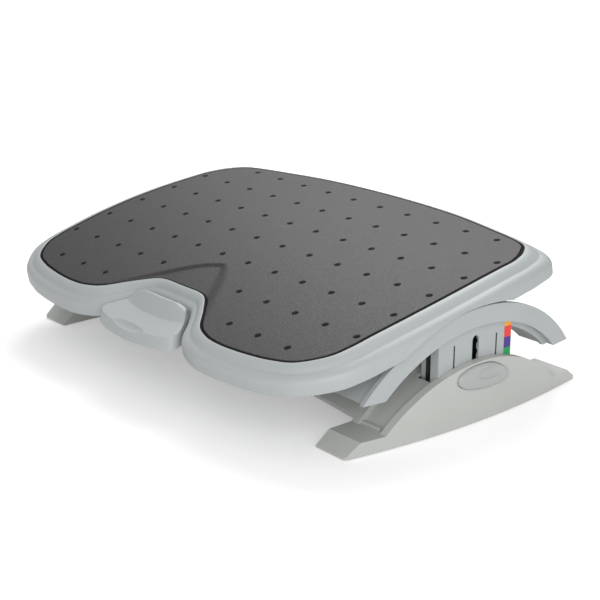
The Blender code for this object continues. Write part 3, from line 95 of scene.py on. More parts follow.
# Base, drawn about the middle of the feet
FOOT_END = 160 * MM
FOOT_INNER_X = 221 * MM
FOOT_OUTER_X = 276.7 * MM
FOOT_BOW = 8.6 * MM
BOW_SPAN = 120 * MM
FOOT_BOTTOM = 0.8 * MM
FOOT_EDGE_TOP = 2.7 * MM
BLOCK_END = 143.5 * MM
BLOCK_TOP = 14.6 * MM
FOOT_CORNER = 4 * MM
HUMP_TOP = 62.6 * MM
HUMP_HALF = 115.9 * MM
VAULT_THICKNESS = 3 * MM
VAULT_SHORT = 5 * MM
VAULT_BOW = 7 * MM
FOOT_OVERLAP = 4 * MM
LIP = 8.5 * MM
RIB_OUTER_X = 230 * MM
TUNNEL_DEPTH = 6 * MM
TUNNEL_SHORT = 6.4 * MM
TUNNEL_END = 1.1 * MM
RIDGE_WIDTH = 2.5 * MM
RIDGE_HEIGHT = 2.6 * MM
RIDGE_END_X = 254.5 * MM
WELL_GAP = 0.6 * MM
BOSS_X = 243 * MM
BOSS_RADIUS = 4.5 * MM
COVER_TOP = 4.8 * MM
PAD_FROM_END = 17 * MM
PAD_Y = FOOT_END - PAD_FROM_END
BOSS_FROM_PAD = 13 * MM
BOSS_Y = PAD_Y - BOSS_FROM_PAD

# Arch, drawn about the middle of the feet
ARCH_OUTER_X = 275 * MM
ARCH_BOW = 8 * MM
ARCH_REACH = 150 * MM
ARCH_ANGLE = 1.2
PLATE_TOP = 177.5 * MM
PLATE_THICKNESS = 4 * MM
PLATE_UNDER = PLATE_TOP - PLATE_THICKNESS
CHEEK_RISE = 3 * MM
CHEEK_DEPTH = 19 * MM
ARCH_OUTER = PLATE_TOP + CHEEK_RISE
ARCH_INNER = ARCH_OUTER - CHEEK_DEPTH
ARCH_LIP = 5 * MM
CHEEK_LIP_EDGE = 0.4 * MM
BEAM_DEPTH = 21.5 * MM
BEAM_INNER = PLATE_TOP - BEAM_DEPTH
BEAM_WALL = 2.5 * MM
BEAM_GAP = 0.6 * MM
BEAM_ROOT = 2 * MM
RIB_X = (256 * MM, 264.5 * MM)
ARCH_END_Z = 48.5 * MM
PLATE_SHORT = 0.3 * MM
SLOT_X = 120 * MM
SLOT_WIDTH = 14 * MM
SLOT_HALF_ANGLE = math.radians(24.5)
COLUMN_HALF = 50 * MM
COLUMN_WEB_X = (265 * MM, 268 * MM)
COLUMN_SCREW_Y = 40 * MM
COLUMN_SLIT_Y = 29 * MM
SLIT_WIDTH = 2 * MM
SLIT_Z = (46 * MM, 82.2 * MM)
LEG_SCREW_Y = 25 * MM
LEG_X = (240 * MM, 251 * MM)
LEG_HALF = 44 * MM
# Width of the dark strip round a leg's outer side, painted shade
SHADE_STRIP_WRAP = 5 * MM
COLUMN_BOTTOM = 39.5 * MM
STRIP_HALF = 14 * MM
STRIP_ANGLES = (math.radians(-44), math.radians(-4))
STRIP_SINK = 1.5 * MM
RIDE_GAP = 0.4 * MM
RIDE_RADIUS = PLATE_TOP + RIDE_GAP

# Height button, in the foot's outer wall
LATCH_Z = 46 * MM
BUTTON_OUTER_X = 280 * MM
BUTTON_INNER_X = 275 * MM
BUTTON_GAP = 0.6 * MM
BUTTON_WELL_X = 270.7 * MM
BUTTON_CENTRE = (4.6 * MM, 46 * MM)
BUTTON_OUTLINE = (
    (-31.4, 48.6), (-28, 54.6), (-14.6, 59.2), (1.6, 59.8), (16.5, 57.6), (29.8, 51),
    (38.4, 43), (34.6, 37), (20.6, 34.2), (0.5, 34.4), (-18.6, 38.4), (-28.6, 43.4),
)
# Button section: how far it is drawn in, and its height above the inner face, in millimetres
BUTTON_SECTION = ((0, 0), (0, 2.3), (0.15, 3), (0.6, 3.65), (1.3, 4.15), (2.3, 4.5), (3.8, 4.75),
                  (6, 4.92), (9, 5))
DIMPLE_CENTRE = (11.5 * MM, 50 * MM)
DIMPLE_HALF = (18.4 * MM, 6.6 * MM)
DIMPLE_DEPTH = 2.2 * MM
SHANK_RADIUS = 3 * MM
SHANK_SINK = 1 * MM
NOSE_END_X = 264.7 * MM

# Height scale: its colours from the bottom, and where they change
SCALE_Z = (52.3 * MM, 63.4 * MM, 74.5 * MM, 85.7 * MM, 92 * MM)
SCALE_COLOURS = ("00A651", "443391", "F03E36", "FBB02E")

# Platform, drawn square to itself about the tilt axis
PLATFORM_RISE = 15.8 * MM
CROWN_TOP = PLATE_TOP + PLATFORM_RISE
CROWN_RADIUS = 1504 * MM
MAT_THICKNESS = 4 * MM
TRAY_SEAT = 4.3 * MM
TRAY_UNDER = 7.3 * MM
SKIRT_GAP = 2.5 * MM
RIB_DEPTH = 18 * MM
RIB_THICKNESS = 2 * MM
RIB_SPOTS_X = (72 * MM, 160 * MM, 225 * MM)
RIB_SPOTS_Y = (-142 * MM, 105 * MM, 140 * MM)
RIB_END_X = 240 * MM
PEDAL_BAY_X = 80 * MM
LUG_RADIUS = 4.5 * MM
LUG_DROP = 2.5 * MM
MAT_OUTLINE = (
    (0, -113.5), (27, -113.5), (43, -118.3), (65, -136.7), (87, -157), (108, -165.8),
    (130, -168.2), (152, -167.4), (174, -165), (195, -161.2), (220, -152), (239, -130),
    (245, -108.5), (247, -87), (249, -65), (250.6, -43), (251.7, 0), (250.4, 43),
    (247.4, 87), (245.2, 108), (235.4, 130), (217, 148.6), (163, 161.4), (108, 171.4),
    (54, 176), (0, 177.4),
)
RIM_OUTLINE = (
    (0, -133), (27, -133.6), (36, -136.6), (51.5, -151.5), (73, -176.3), (103, -186.8),
    (129, -188.6), (155, -187.5), (177, -185.3), (200, -181.2), (232.5, -169.2), (260.5, -142.5),
    (270.6, -117), (274.3, -92), (276.8, -67), (278.3, -44), (279.5, 0), (278.4, 43),
    (274.6, 88), (271, 116), (260.5, 149), (231, 165.2), (168, 179.8), (110, 190.6),
    (55, 195), (0, 196.4),
)

# Rim section: share of the way from mat to wall, and depth below the crown in millimetres
RIM_SECTION = (
    (0.13, 7.3), (0.13, 0.6), (0.138, 0.26), (0.155, 0.09), (0.19, 0.12), (0.25, 0.38), (0.32, 0.95),
    (0.4, 1.9), (0.47, 3.2), (0.53, 4.7), (0.57, 5.7), (0.595, 6.15), (0.625, 6.35), (0.68, 6.5),
    (0.76, 6.95), (0.84, 7.7), (0.9, 8.6), (0.95, 10), (0.98, 11.7), (0.995, 13.6), (1, 16),
    (1, 23.2), (0.985, 24), (0.865, 24), (0.85, 23.4), (0.85, 12.5), (0.76, 10.4), (0.4, 8.2),
)
# Dark bead in the gap between mat and rim, painted shade that stands for the shadow in that gap, in the same
# terms
GAP_SHADE_SECTION = ((0.012, 4.2), (0.012, 1), (0.03, 0.7), (0.129, 0.7), (0.129, 4.2))
# Least way from mat to wall, and the share of it that the tray reaches
RIM_WIDTH = 20 * MM
TRAY_SHARE = 0.15
# Depths of the dark sheet's two faces, and of the tops of its dark plugs in the mat's holes; sheet and plugs
# are painted shade, standing for the shade inside the holes
HOLE_SHADE_DEPTHS = (4.05 * MM, 4.25 * MM)
HOLE_SHADE_STUD_TOP = 0.7 * MM

# Mat holes and the sloped field behind the pedal
MAT_EDGE = 0.7 * MM
HOLE_RADIUS = 3 * MM
HOLE_PITCH = (43.4 * MM, 47 * MM)
FULL_ROW = range(12)
HOLE_ROWS = (
    (1, 2, 3, 8, 9, 10), (0, 1, 2, 3, 4, 7, 8, 9, 10, 11), FULL_ROW, FULL_ROW, FULL_ROW,
    FULL_ROW, range(1, 11),
)
FOLD = ((0, -60), (18, -70), (30, -82), (44, -100.4), (57, -118.3), (76.6, -143), (88, -156))
FIELD_EDGE = ((0, -113.5), (14, -113.5), (27, -113.5), (38, -116.4), (50, -123.5), (68, -139.5),
              (88, -157.6))
FIELD_DEPTH = 3.2 * MM
FIELD_RUN = 25 * MM
# Width of the step at the fold, and how many widths more it gets on the right
FIELD_STEP = 6 * MM
FIELD_SOFTER = 3
# Shares of the field's depth that the step and the slope behind it take
FIELD_SHARES = (0.7, 0.3)
FIELD_BEYOND = 6 * MM
# Pitch of the cuts that let the mat bend, and how far they start from its end or side
ROW_PITCH = 6 * MM
ROW_SHIFT = 0.37 * MM
FIELD_PITCH = 2 * MM
FIELD_SHIFT = (0.19 * MM, 0.13 * MM)

# Shoes, keepers and screws under the tray
SHOE_X = 190 * MM
SHOE_ANGLES = (math.radians(10), math.radians(24))
KEEPER_SCREW_Y = 12 * MM
SCREW_HOLE = 1.5 * MM
HEAD_RADIUS = 2.8 * MM
HEAD_GAP = 0.4 * MM
HEAD_HEIGHT = 1.6 * MM
HOLE_DEPTH = 20 * MM

# Pedal, in the platform's frame
PEDAL_PIVOT = (-124 * MM, CROWN_TOP - 22.1 * MM)
BRAKE_PIVOT = (-50 * MM, PLATE_TOP)
PIN_HOLE = 2.3 * MM
PEDAL_LUG_X = (22 * MM, 25 * MM)
BRAKE_LUG_X = (12 * MM, 15 * MM)
WINDOW_HALF = 18 * MM
WINDOW_Y = (-145 * MM, -126.5 * MM)
WINDOW_GAP = 0.9 * MM
ARM_X = (12.5 * MM, 16.5 * MM)
ARM_Z = (PEDAL_PIVOT[1] - 3.7 * MM, PEDAL_PIVOT[1] + 2.8 * MM)
ARM_END_Y = -98 * MM
ARM_WEB_Y = (-151 * MM, -142.6 * MM)
ARM_WEB_DEPTH = 12 * MM
ARM_BAR = 3.5 * MM
BAR_TOP = ARM_Z[1] + 0.1 * MM
PEDAL_HEIGHT = 31.5 * MM
PEDAL_BOTTOM = CROWN_TOP - PEDAL_HEIGHT
PEDAL_SHELL = 2.5 * MM
PEDAL_FOOT = (
    (0, -196), (30, -193.5), (50, -189.5), (60.5, -185), (64, -179), (63.5, -172), (59.5, -165.5),
    (53.5, -157.8), (47.5, -150.5), (41.5, -143.5), (34.5, -138.8), (26, -136.6), (0, -136.4),
)
PEDAL_BROW = (
    (0, -184), (30, -183), (48, -179.6), (56, -176), (58.5, -171), (57.5, -166.5), (54, -160.5),
    (49.5, -154.5), (44.5, -148.5), (39.5, -142.6), (33.5, -138.8), (26, -136.9), (0, -136.7),
)
PEDAL_RISE = 27 * MM
PEDAL_START_Y = -215 * MM
PEDAL_PROFILE = ((-144.6, 5), (-143.4, 5.3), (-142.6, 6.2), (-142.2, 8), (-141.6, 34.5))
PEDAL_FRONT = ((0, 4), (15, 4.3), (25, 5.2), (35, 7.4), (43, 10.5), (50, 14.5), (54, 17.2), (70, 19.5))
PEDAL_TREAD = ((-215, 21.5), (-178, 19.5), (-158, 16.8), (-130, 16.2))
PEDAL_CREASE = ((0, -162), (16, -161.4), (32, -159.4), (44, -156.6), (56, -152), (72, -144))
PEDAL_CREST = ((0, -144.5), (16, -144.6), (32, -145.2), (44, -146), (56, -145), (72, -140))
PEDAL_RISER = ((0, 0), (0.05, 0.03), (0.5, 0.5), (0.9, 0.93), (1, 1))
SCOOP_CENTRE = (0, -191.5 * MM, CROWN_TOP - 15.8 * MM)
SCOOP_HALF = (35 * MM, 10 * MM, 7 * MM)

# Studio, in metres: each lamp's place, what it faces and the side of its square
KEY_BOX = ((-0.7, 0.8, 1.3), (0, 0, 0.05), 1)
CAMERA_FILL = ((1.5, -0.9, 0.7), (0.1, 0, 0.08), 1.5)
CAMERA_PLACE = (1.1389, STAND_Y - 0.9542, 0.5457)
CAMERA_AZIMUTH = math.radians(49.815)
CAMERA_ELEVATION = math.radians(18.325)
CAMERA_RANGE = (0.05, 50)
SENSOR_WIDTH = 36
FLOOR_HALF = 6
# The floor's glow to the camera, at the first distance and beyond the second
GLOW_REACH = (0.35, 1.2)
GLOW = (0.36, 0.8)


# Colours and sizes that a user would change

def linear(code):
    """A linear RGB triple from an sRGB hex code."""
    channels = [int(code[i:i + 2], 16) / 255 for i in (0, 2, 4)]
    return [c / 12.92 if c <= 0.04045 else ((c + 0.055) / 1.055) ** 2.4 for c in channels]


def colour_property(name, description, code):
    """A colour setting with its default."""
    return FloatVectorProperty(name=name, description=description, subtype="COLOR", size=3,
                               min=0, max=1, default=linear(code))


class FootrestColours(bpy.types.PropertyGroup):
    """Colours of the footrest's finishes."""

    rim: colour_property("Rim", "Moulded rim, arch, columns and pedal", "B4B9BA")
    base: colour_property("Base", "Moulded base", "C2C4C0")
    button: colour_property("Button", "Height buttons", "B2B5B4")
    inner: colour_property("Inner parts", "Legs and levers", "C2C6C6")
    mat: colour_property("Mat", "Rubber mat", "373538")
    floor: colour_property("Floor", "Studio floor", "F2F2F2")


class FootrestSizes(bpy.types.PropertyGroup):
    """Sizes of the footrest's finer shapes."""

    edge: FloatProperty(name="Foot edge", description="Radius of the feet's outer edges", unit="LENGTH",
                        default=0.9 * MM, min=0.1 * MM, max=1.5 * MM, precision=4)
    pedal_edge: FloatProperty(name="Pedal edge", description="Radius of the pedal's edges", unit="LENGTH",
                              default=1.4 * MM, min=0.1 * MM, max=2 * MM, precision=4)
    cheek_edge: FloatProperty(name="Cheek edge", description="Radius along the arch's outer edges",
                              unit="LENGTH", default=2 * MM, min=0.5 * MM, max=3 * MM, precision=4)
    hole_flare: FloatProperty(name="Hole flare", description="Chamfer round each hole of the mat",
                              unit="LENGTH", default=0.8 * MM, min=0.1 * MM, max=1 * MM, precision=4)


class FootrestStudio(bpy.types.PropertyGroup):
    """Light and camera of the studio."""

    key: FloatProperty(name="Key", description="Power of the soft box behind the platform", default=15,
                       min=0, unit="POWER")
    fill: FloatProperty(name="Fill", description="Power of the soft box beside the camera", default=16,
                        min=0, unit="POWER")
    lens: FloatProperty(name="Lens", description="Focal length of the camera", default=86, min=20,
                        unit="CAMERA")


# Meshes

def finished(name, shape):
    """A linked object from a bmesh."""
    mesh = bpy.data.meshes.new(name)
    shape.to_mesh(mesh)
    shape.free()
    made = bpy.data.objects.new(name, mesh)
    bpy.context.scene.collection.objects.link(made)
    return made


def prism(name, axis, outline, low, high):
    """A flat outline drawn out along X (outline in Y, Z), Y (in X, Z) or Z (in X, Y)."""
    spots = {"X": lambda a, b: (low, a, b), "Y": lambda a, b: (a, low, b),
             "Z": lambda a, b: (a, b, low)}[axis]
    shape = bmesh.new()
    face = shape.faces.new([shape.verts.new(spots(a, b)) for a, b in outline])
    grown = bmesh.ops.extrude_face_region(shape, geom=[face])["geom"]
    new = [item for item in grown if isinstance(item, bmesh.types.BMVert)]
    move = Vector([(high - low) * (letter == axis) for letter in "XYZ"])
    bmesh.ops.translate(shape, verts=new, vec=move)
    bmesh.ops.recalc_face_normals(shape, faces=shape.faces)
    return finished(name, shape)


def box(name, low, high):
    """A box between two corners."""
    shape = bmesh.new()
    bmesh.ops.create_cube(shape, size=1)
    size = [abs(b - a) for a, b in zip(low, high)]
    middle = [(a + b) / 2 for a, b in zip(low, high)]
    bmesh.ops.transform(shape, matrix=Matrix.LocRotScale(middle, None, size), verts=shape.verts)
    return finished(name, shape)


def rods(name, places, radius, length, flare=None):
    """Round bars of one size, each centred on a matrix whose Z is its length."""
    shape = bmesh.new()
    for place in places:
        bmesh.ops.create_cone(shape, cap_ends=True, segments=ROD_SEGMENTS, radius1=radius,
                              radius2=flare or radius, depth=length, matrix=place)
    return finished(name, shape)


def dome(name, middle, half):
    """An ellipsoid about a point."""
    shape = bmesh.new()
    around, over = DOME_SEGMENTS
    bmesh.ops.create_uvsphere(shape, u_segments=around, v_segments=over, radius=1)
    bmesh.ops.transform(shape, matrix=Matrix.LocRotScale(middle, None, half), verts=shape.verts)
    return finished(name, shape)


def lofted(name, rings):
    """A closed shape through rings of points, each as long as the next."""
    shape = bmesh.new()
    loops = [[shape.verts.new(spot) for spot in ring] for ring in rings]
    for a, b in zip(loops, loops[1:]):
        for i in range(len(a)):
            shape.faces.new((a[i - 1], a[i], b[i], b[i - 1]))
    for loop in (loops[0], loops[-1]):
        shape.faces.new(loop)
    bmesh.ops.recalc_face_normals(shape, faces=shape.faces)
    return finished(name, shape)


def along_x(x, y, z):
    """A place at a point, with its length along X."""
    return Matrix.Translation((x, y, z)) @ Matrix.Rotation(math.pi / 2, 4, "Y")


def bake(piece):
    """Applies a piece's modifiers to its mesh."""
    bpy.context.view_layer.update()
    graph = bpy.context.evaluated_depsgraph_get()
    mesh = bpy.data.meshes.new_from_object(piece.evaluated_get(graph))
    piece.modifiers.clear()
    old = piece.data
    piece.data = mesh
    bpy.data.meshes.remove(old)
    return piece


def combine(piece, tool, operation="DIFFERENCE"):
    """Cuts, joins or intersects a piece with a tool, which is used up."""
    change = piece.modifiers.new(operation.lower(), "BOOLEAN")
    change.object = tool
    change.operation = operation
    change.solver = "EXACT"
    bake(piece)
    mesh = tool.data
    bpy.data.objects.remove(tool, do_unlink=True)
    bpy.data.meshes.remove(mesh)
    return piece


def trimmed(piece, plan, low=0.0):
    """A piece cut to a plan outline, from a height upward."""
    return combine(piece, prism("plan", "Z", plan, low, BEYOND), "INTERSECT")


def rounded(piece, width, segments=3, angle=35):
    """Rounds a piece's edges that are sharper than an angle."""
    edge = piece.modifiers.new("edges", "BEVEL")
    edge.width = width
    edge.segments = segments
    edge.limit_method = "ANGLE"
    edge.angle_limit = math.radians(angle)
    edge.miter_outer = "MITER_ARC"
    return bake(piece)


def merged(piece, flat=0.05):
    """Merges doubled points and the flat faces that cuts have split."""
    shape = bmesh.new()
    shape.from_mesh(piece.data)
    bmesh.ops.remove_doubles(shape, verts=shape.verts, dist=MERGE_GAP)
    bmesh.ops.dissolve_limit(shape, angle_limit=math.radians(flat), verts=shape.verts, edges=shape.edges)
    shape.to_mesh(piece.data)
    shape.free()
    return piece


def smoothed(piece, angle):
    """Shades a piece smooth except over its sharp edges, led by its larger faces."""
    piece.data.shade_smooth()
    piece.data.set_sharp_from_angle(angle=math.radians(angle))
    weights = piece.modifiers.new("flat faces lead", "WEIGHTED_NORMAL")
    weights.keep_sharp = True
    return bake(piece)


def placed(piece, place, angle=32):
    """A piece moved to its place in the frame and shaded smooth."""
    piece.data.transform(place)
    return smoothed(piece, angle)


def dress(piece, body, slot_name, *nodes):
    """Gives a piece its material and the CAD body, slot and nodes that it goes with."""
    piece.data.materials.clear()
    piece.data.materials.append(PAINTS[slot_name])
    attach(piece, body)
    if nodes:
        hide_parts(*nodes)
    return piece


# Outlines

def arc(centre, radius, low, high, steps):
    """Points on a crown about a centre on the Z line, from low Y to high Y."""
    start, end = math.asin(low / radius), math.asin(high / radius)
    angles = [start + (end - start) * i / steps for i in range(steps + 1)]
    return [(radius * math.sin(a), centre + radius * math.cos(a)) for a in angles]


def evenly(reach, steps):
    """Evenly spaced values from -reach to reach."""
    return [reach * (2 * i / steps - 1) for i in range(steps + 1)]


def ring_sector(inner, outer, start, end, steps, centre=0.0):
    """A ring's sector between two angles from +Z, as Y and Z."""
    angles = [start + (end - start) * i / steps for i in range(steps + 1)]
    top = [(outer * math.sin(a), centre + outer * math.cos(a)) for a in angles]
    return top + [(inner * math.sin(a), centre + inner * math.cos(a)) for a in reversed(angles)]


def bowed(inner, middle, bow, half, corner=0.0, steps=41):
    """A plan with a straight inner side and an outer side that bows in towards its ends."""
    reach = half - corner
    line = [(middle - bow * (y / BOW_SPAN) ** 2, y) for y in evenly(reach, steps)]
    if corner:
        edge = line[-1][0] - corner
        turn = [(edge + corner * math.sin(a), reach + corner * math.cos(a))
                for a in [math.radians(90 - 15 * i) for i in range(1, 7)]]
        line = [(x, -y) for x, y in reversed(turn)] + line + turn
    return [(inner, -half)] + line + [(inner, half)]


def sided(outline, side):
    """A plan outline on the right or, mirrored, on the left."""
    return [(x * side, y) for x, y in outline]


def span(side, low, high):
    """Two X values on one side, low first."""
    return sorted((side * low, side * high))


def curve_through(points, steps, closed=True):
    """A smooth line through points, with equal steps between each two."""
    count = len(points)
    line = []
    for i in range(count if closed else count - 1):
        near = [i + k for k in (-1, 0, 1, 2)]
        near = [k % count for k in near] if closed else [min(max(k, 0), count - 1) for k in near]
        a, b, c, d = (points[k] for k in near)
        for s in range(steps):
            t = s / steps
            line.append((2 * b + (c - a) * t + (2 * a - 5 * b + 4 * c - d) * t ** 2
                         + (3 * b - a - 3 * c + d) * t ** 3) / 2)
    return line if closed else line + [points[-1]]


def both_halves(half, steps):
    """A closed smooth loop through half an outline in millimetres and its mirror image."""
    points = [Vector(p) * MM for p in half]
    points += [Vector((-p.x, p.y)) for p in reversed(points[1:-1])]
    return curve_through(points, steps)


def mirrored(half, steps=PLAN_STEPS):
    """A smooth open line in millimetres with its mirror image before it, from left to right."""
    points = [Vector(p) for p in half]
    points = [Vector((-p.x, p.y)) for p in reversed(points[1:])] + points
    return [p * MM for p in curve_through(points, steps, closed=False)]


def crown(y, depth=0.0):
    """Height of the platform's crown above the tilt axis, less a depth."""
    return CROWN_TOP - y ** 2 / (2 * CROWN_RADIUS) - depth


def between(table, x):
    """The value of a table of pairs at x, straight between its entries."""
    for (x0, y0), (x1, y1) in zip(table, table[1:]):
        if x <= x1:
            return y0 + (y1 - y0) * (x - x0) / (x1 - x0)
    return table[-1][1]


def eased(share):
    """A share from 0 to 1, eased at both ends."""
    share = min(1, max(0, share))
    return share * share * (3 - 2 * share)


def arch_ring(inner, outer, short=0.0, lift=0.0, steps=PLATE_STEPS):
    """The arch's section between two radii, in Y and Z, short of its level ends or above them."""
    rise = ARCH_END_Z + lift - AXIS_HEIGHT
    far, near = (math.sqrt(radius ** 2 - rise ** 2) - short for radius in (outer, inner))
    top = arc(AXIS_HEIGHT, outer, -far, far, steps)
    under = arc(AXIS_HEIGHT, inner, -near, near, steps)
    return top + under[::-1]


# Finishes

PAINTS = {}
# Width in millimetres of the slow drift of tone, and how far roughness varies with the grain
DRIFT_WIDTH = 60
GLOSS_SPREAD = 0.06


def add_node(tree, kind, settings=None, links=None):
    """Adds a node with its settings and its links: input name to (node, output name)."""
    node = tree.nodes.new(kind)
    for key, value in (settings or {}).items():
        if isinstance(key, str) and hasattr(node, key):
            setattr(node, key, value)
        else:
            node.inputs[key].default_value = value
    for key, (source, output) in (links or {}).items():
        tree.links.new(source.outputs[output], node.inputs[key])
    return node


def grain_space(tree):
    """Object coordinates in millimetres."""
    spot = add_node(tree, "ShaderNodeTexCoord")
    return add_node(tree, "ShaderNodeVectorMath", {"operation": "SCALE", "Scale": 1 / MM},
                    {0: (spot, "Object")})


def moulded(name, colour, roughness, grain, depth, drift=0.04, metallic=0.0, shine=0.5):
    """A moulded or cast surface: fine grain of a real size, with a faint drift of tone and gloss."""
    paint = bpy.data.materials.new(name)
    paint.use_nodes = True
    tree = paint.node_tree
    shader = tree.nodes["Principled BSDF"]
    shader.inputs["Metallic"].default_value = metallic
    shader.inputs["Specular IOR Level"].default_value = shine
    space = grain_space(tree)
    fine = add_node(tree, "ShaderNodeTexNoise", {"Scale": MM / grain, "Detail": 3.0, "Roughness": 0.6},
                    {"Vector": (space, "Vector")})
    broad = add_node(tree, "ShaderNodeTexNoise", {"Scale": 1 / DRIFT_WIDTH, "Detail": 4.0},
                     {"Vector": (space, "Vector")})
    tone = add_node(tree, "ShaderNodeMapRange", {"To Min": 1 - drift, "To Max": 1 + drift},
                    {"Value": (broad, "Fac")})
    colour_node = add_node(tree, "ShaderNodeMix", {"data_type": "RGBA", "blend_type": "MULTIPLY", 0: 1.0,
                                                   6: (*colour, 1)}, {7: (tone, "Result")})
    gloss = add_node(tree, "ShaderNodeMapRange", {"To Min": roughness - GLOSS_SPREAD,
                                                "To Max": roughness + GLOSS_SPREAD}, {"Value": (fine, "Fac")})
    bump = add_node(tree, "ShaderNodeBump", {"Strength": 1.0, "Distance": depth},
                    {"Height": (fine, "Fac")})
    tree.links.new(colour_node.outputs[2], shader.inputs["Base Color"])
    tree.links.new(gloss.outputs["Result"], shader.inputs["Roughness"])
    tree.links.new(bump.outputs["Normal"], shader.inputs["Normal"])
    return paint


def leather_rubber(name, colour, pebble, depth):
    """Rubber pressed on a leather-grained plate: flat pebbles of a real size between fine creases, painted
    darker in the creases as shade.
    """
    paint = moulded(name, colour, 0.52, 0.6 * MM, 0.05 * MM)
    tree = paint.node_tree
    shader = tree.nodes["Principled BSDF"]
    space = grain_space(tree)
    stir = add_node(tree, "ShaderNodeTexNoise", {"Scale": 0.4 * MM / pebble, "Detail": 2.0},
                    {"Vector": (space, "Vector")})
    warp = add_node(tree, "ShaderNodeVectorMath", {"operation": "MULTIPLY_ADD", 1: (1.5, 1.5, 1.5)},
                    {0: (stir, "Color"), 2: (space, "Vector")})
    cells = add_node(tree, "ShaderNodeTexVoronoi", {"feature": "DISTANCE_TO_EDGE", "Scale": MM / pebble},
                     {"Vector": (warp, "Vector")})
    pebbles = add_node(tree, "ShaderNodeMapRange", {"interpolation_type": "SMOOTHSTEP", "From Max": 0.3},
                       {"Value": (cells, "Distance")})
    mottle = add_node(tree, "ShaderNodeTexNoise",
                      {"Scale": 0.8 * MM / pebble, "Detail": 4.0, "Roughness": 0.65},
                      {"Vector": (space, "Vector")})
    tone = add_node(tree, "ShaderNodeMapRange",
                    {"From Min": 0.3, "From Max": 0.7, "To Min": 0.55, "To Max": 1.45},
                    {"Value": (mottle, "Fac")})
    # Painted shade: the creases between pebbles darker, the pebble tops a touch lighter
    crease = add_node(tree, "ShaderNodeMapRange", {"To Min": 0.82, "To Max": 1.03},
                      {"Value": (pebbles, "Result")})
    both = add_node(tree, "ShaderNodeMath", {"operation": "MULTIPLY"},
                    {0: (tone, "Result"), 1: (crease, "Result")})
    shade = add_node(tree, "ShaderNodeMix", {"data_type": "RGBA", "blend_type": "MULTIPLY", 0: 1.0,
                                             6: (*colour, 1)}, {7: (both, "Value")})
    rise = add_node(tree, "ShaderNodeBump", {"Strength": 1.0, "Distance": depth},
                    {"Height": (pebbles, "Result"), "Normal": (tree.nodes["Bump"], "Normal")})
    tree.links.new(shade.outputs[2], shader.inputs["Base Color"])
    tree.links.new(rise.outputs["Normal"], shader.inputs["Normal"])
    return paint


def scale_vinyl():
    """Printed vinyl strip: four flat colour bands, one for each height."""
    paint = moulded("printed_vinyl_strip", (1, 1, 1), 0.4, 0.5 * MM, 0.005 * MM)
    tree = paint.node_tree
    spot = add_node(tree, "ShaderNodeTexCoord")
    place = add_node(tree, "ShaderNodeSeparateXYZ", None, {"Vector": (spot, "Object")})
    height = add_node(tree, "ShaderNodeMapRange", {"From Min": SCALE_Z[0], "From Max": SCALE_Z[-1]},
                      {"Value": (place, "Z")})
    bands = add_node(tree, "ShaderNodeValToRGB", None, {"Fac": (height, "Result")})
    ramp = bands.color_ramp
    ramp.interpolation = "CONSTANT"
    full = SCALE_Z[-1] - SCALE_Z[0]
    for index, code in enumerate(SCALE_COLOURS):
        share = (SCALE_Z[index] - SCALE_Z[0]) / full
        stop = ramp.elements[index] if index < 2 else ramp.elements.new(share)
        stop.position = share
        stop.color = (*linear(code), 1)
    tree.links.new(bands.outputs["Color"], tree.nodes["Principled BSDF"].inputs["Base Color"])
    return paint


def make_paints(colours):
    """Makes every finish, named for the record's material slots."""
    # ABS, injection moulded in a spark-textured tool: a satin sheen with a fine grain, drawn 0.7 mm wide
    PAINTS["rim_grey"] = moulded("abs_rim_grey", colours.rim, 0.42, 0.7 * MM, 0.02 * MM)
    # The same plastic in the base's paler, warmer grey
    PAINTS["base_grey"] = moulded("abs_base_grey", colours.base, 0.46, 0.7 * MM, 0.02 * MM)
    # ABS from a smoother tool: a softer highlight along the button's edge
    PAINTS["button_grey"] = moulded("abs_button_grey", colours.button, 0.36, 0.7 * MM, 0.01 * MM)
    # Plain moulded polypropylene on inner pieces: duller, with flow marks
    PAINTS["inner_grey"] = moulded("polypropylene_inner_grey", colours.inner, 0.5, 0.9 * MM, 0.02 * MM, 0.06)
    # Black polypropylene on covers and posts, and on the dark slit linings and leg strips that are painted
    # shade: dull, with flow marks
    PAINTS["inner_black"] = moulded("polypropylene_black", linear("232324"), 0.55, 0.9 * MM, 0.02 * MM, 0.1)
    # Thermoplastic rubber pressed on a leather-grained plate: dull, with a pebble about 1.5 mm wide and
    # painted shade in the creases between pebbles
    PAINTS["charcoal_rubber"] = leather_rubber("grained_rubber_charcoal", colours.mat, 1.5 * MM, 0.1 * MM)
    # Solid black rubber: dull, faintly dusty, with hardly any sheen; on the sheet under the mat its black is
    # painted shade for the holes and the gap round the mat
    PAINTS["black_rubber"] = moulded("solid_rubber_black", linear("161617"), 0.8, 1 * MM, 0.03 * MM, 0.1,
                                     shine=0.12)
    # Acetal, machined or moulded: off-white and waxy
    PAINTS["white_acetal"] = moulded("acetal_white", linear("DEDCD3"), 0.38, 0.8 * MM, 0.01 * MM)
    # Zinc plate on steel: bright, finely frosted
    PAINTS["screw_steel"] = moulded("zinc_plated_steel", linear("B8BABD"), 0.34, 0.4 * MM, 0.01 * MM,
                                    0.05, 1.0)
    # Drawn spring wire: darker and smooth
    PAINTS["spring_steel"] = moulded("drawn_spring_wire", linear("8E9196"), 0.3, 0.4 * MM, 0.01 * MM,
                                     0.05, 1.0)
    PAINTS["scale_label"] = scale_vinyl()


# Pieces

def field_drop(x, y):
    """How far the mat's sloped field lies below its crown: a quick step at the fold, then a slope."""
    fold = between(FOLD, abs(x) / MM) * MM
    run = fold - between(FIELD_EDGE, abs(x) / MM) * MM + FIELD_BEYOND
    if y > fold or abs(x) > FOLD[-1][0] * MM or run < 2 * JOIN:
        return 0
    full = FIELD_DEPTH * min(1, run / FIELD_RUN)
    step = FIELD_STEP * (1 + FIELD_SOFTER * eased(x / FIELD_RUN))
    quick, slow = FIELD_SHARES
    return full * (quick * eased((fold - y) / step) + slow * min(1, (fold - y) / run))


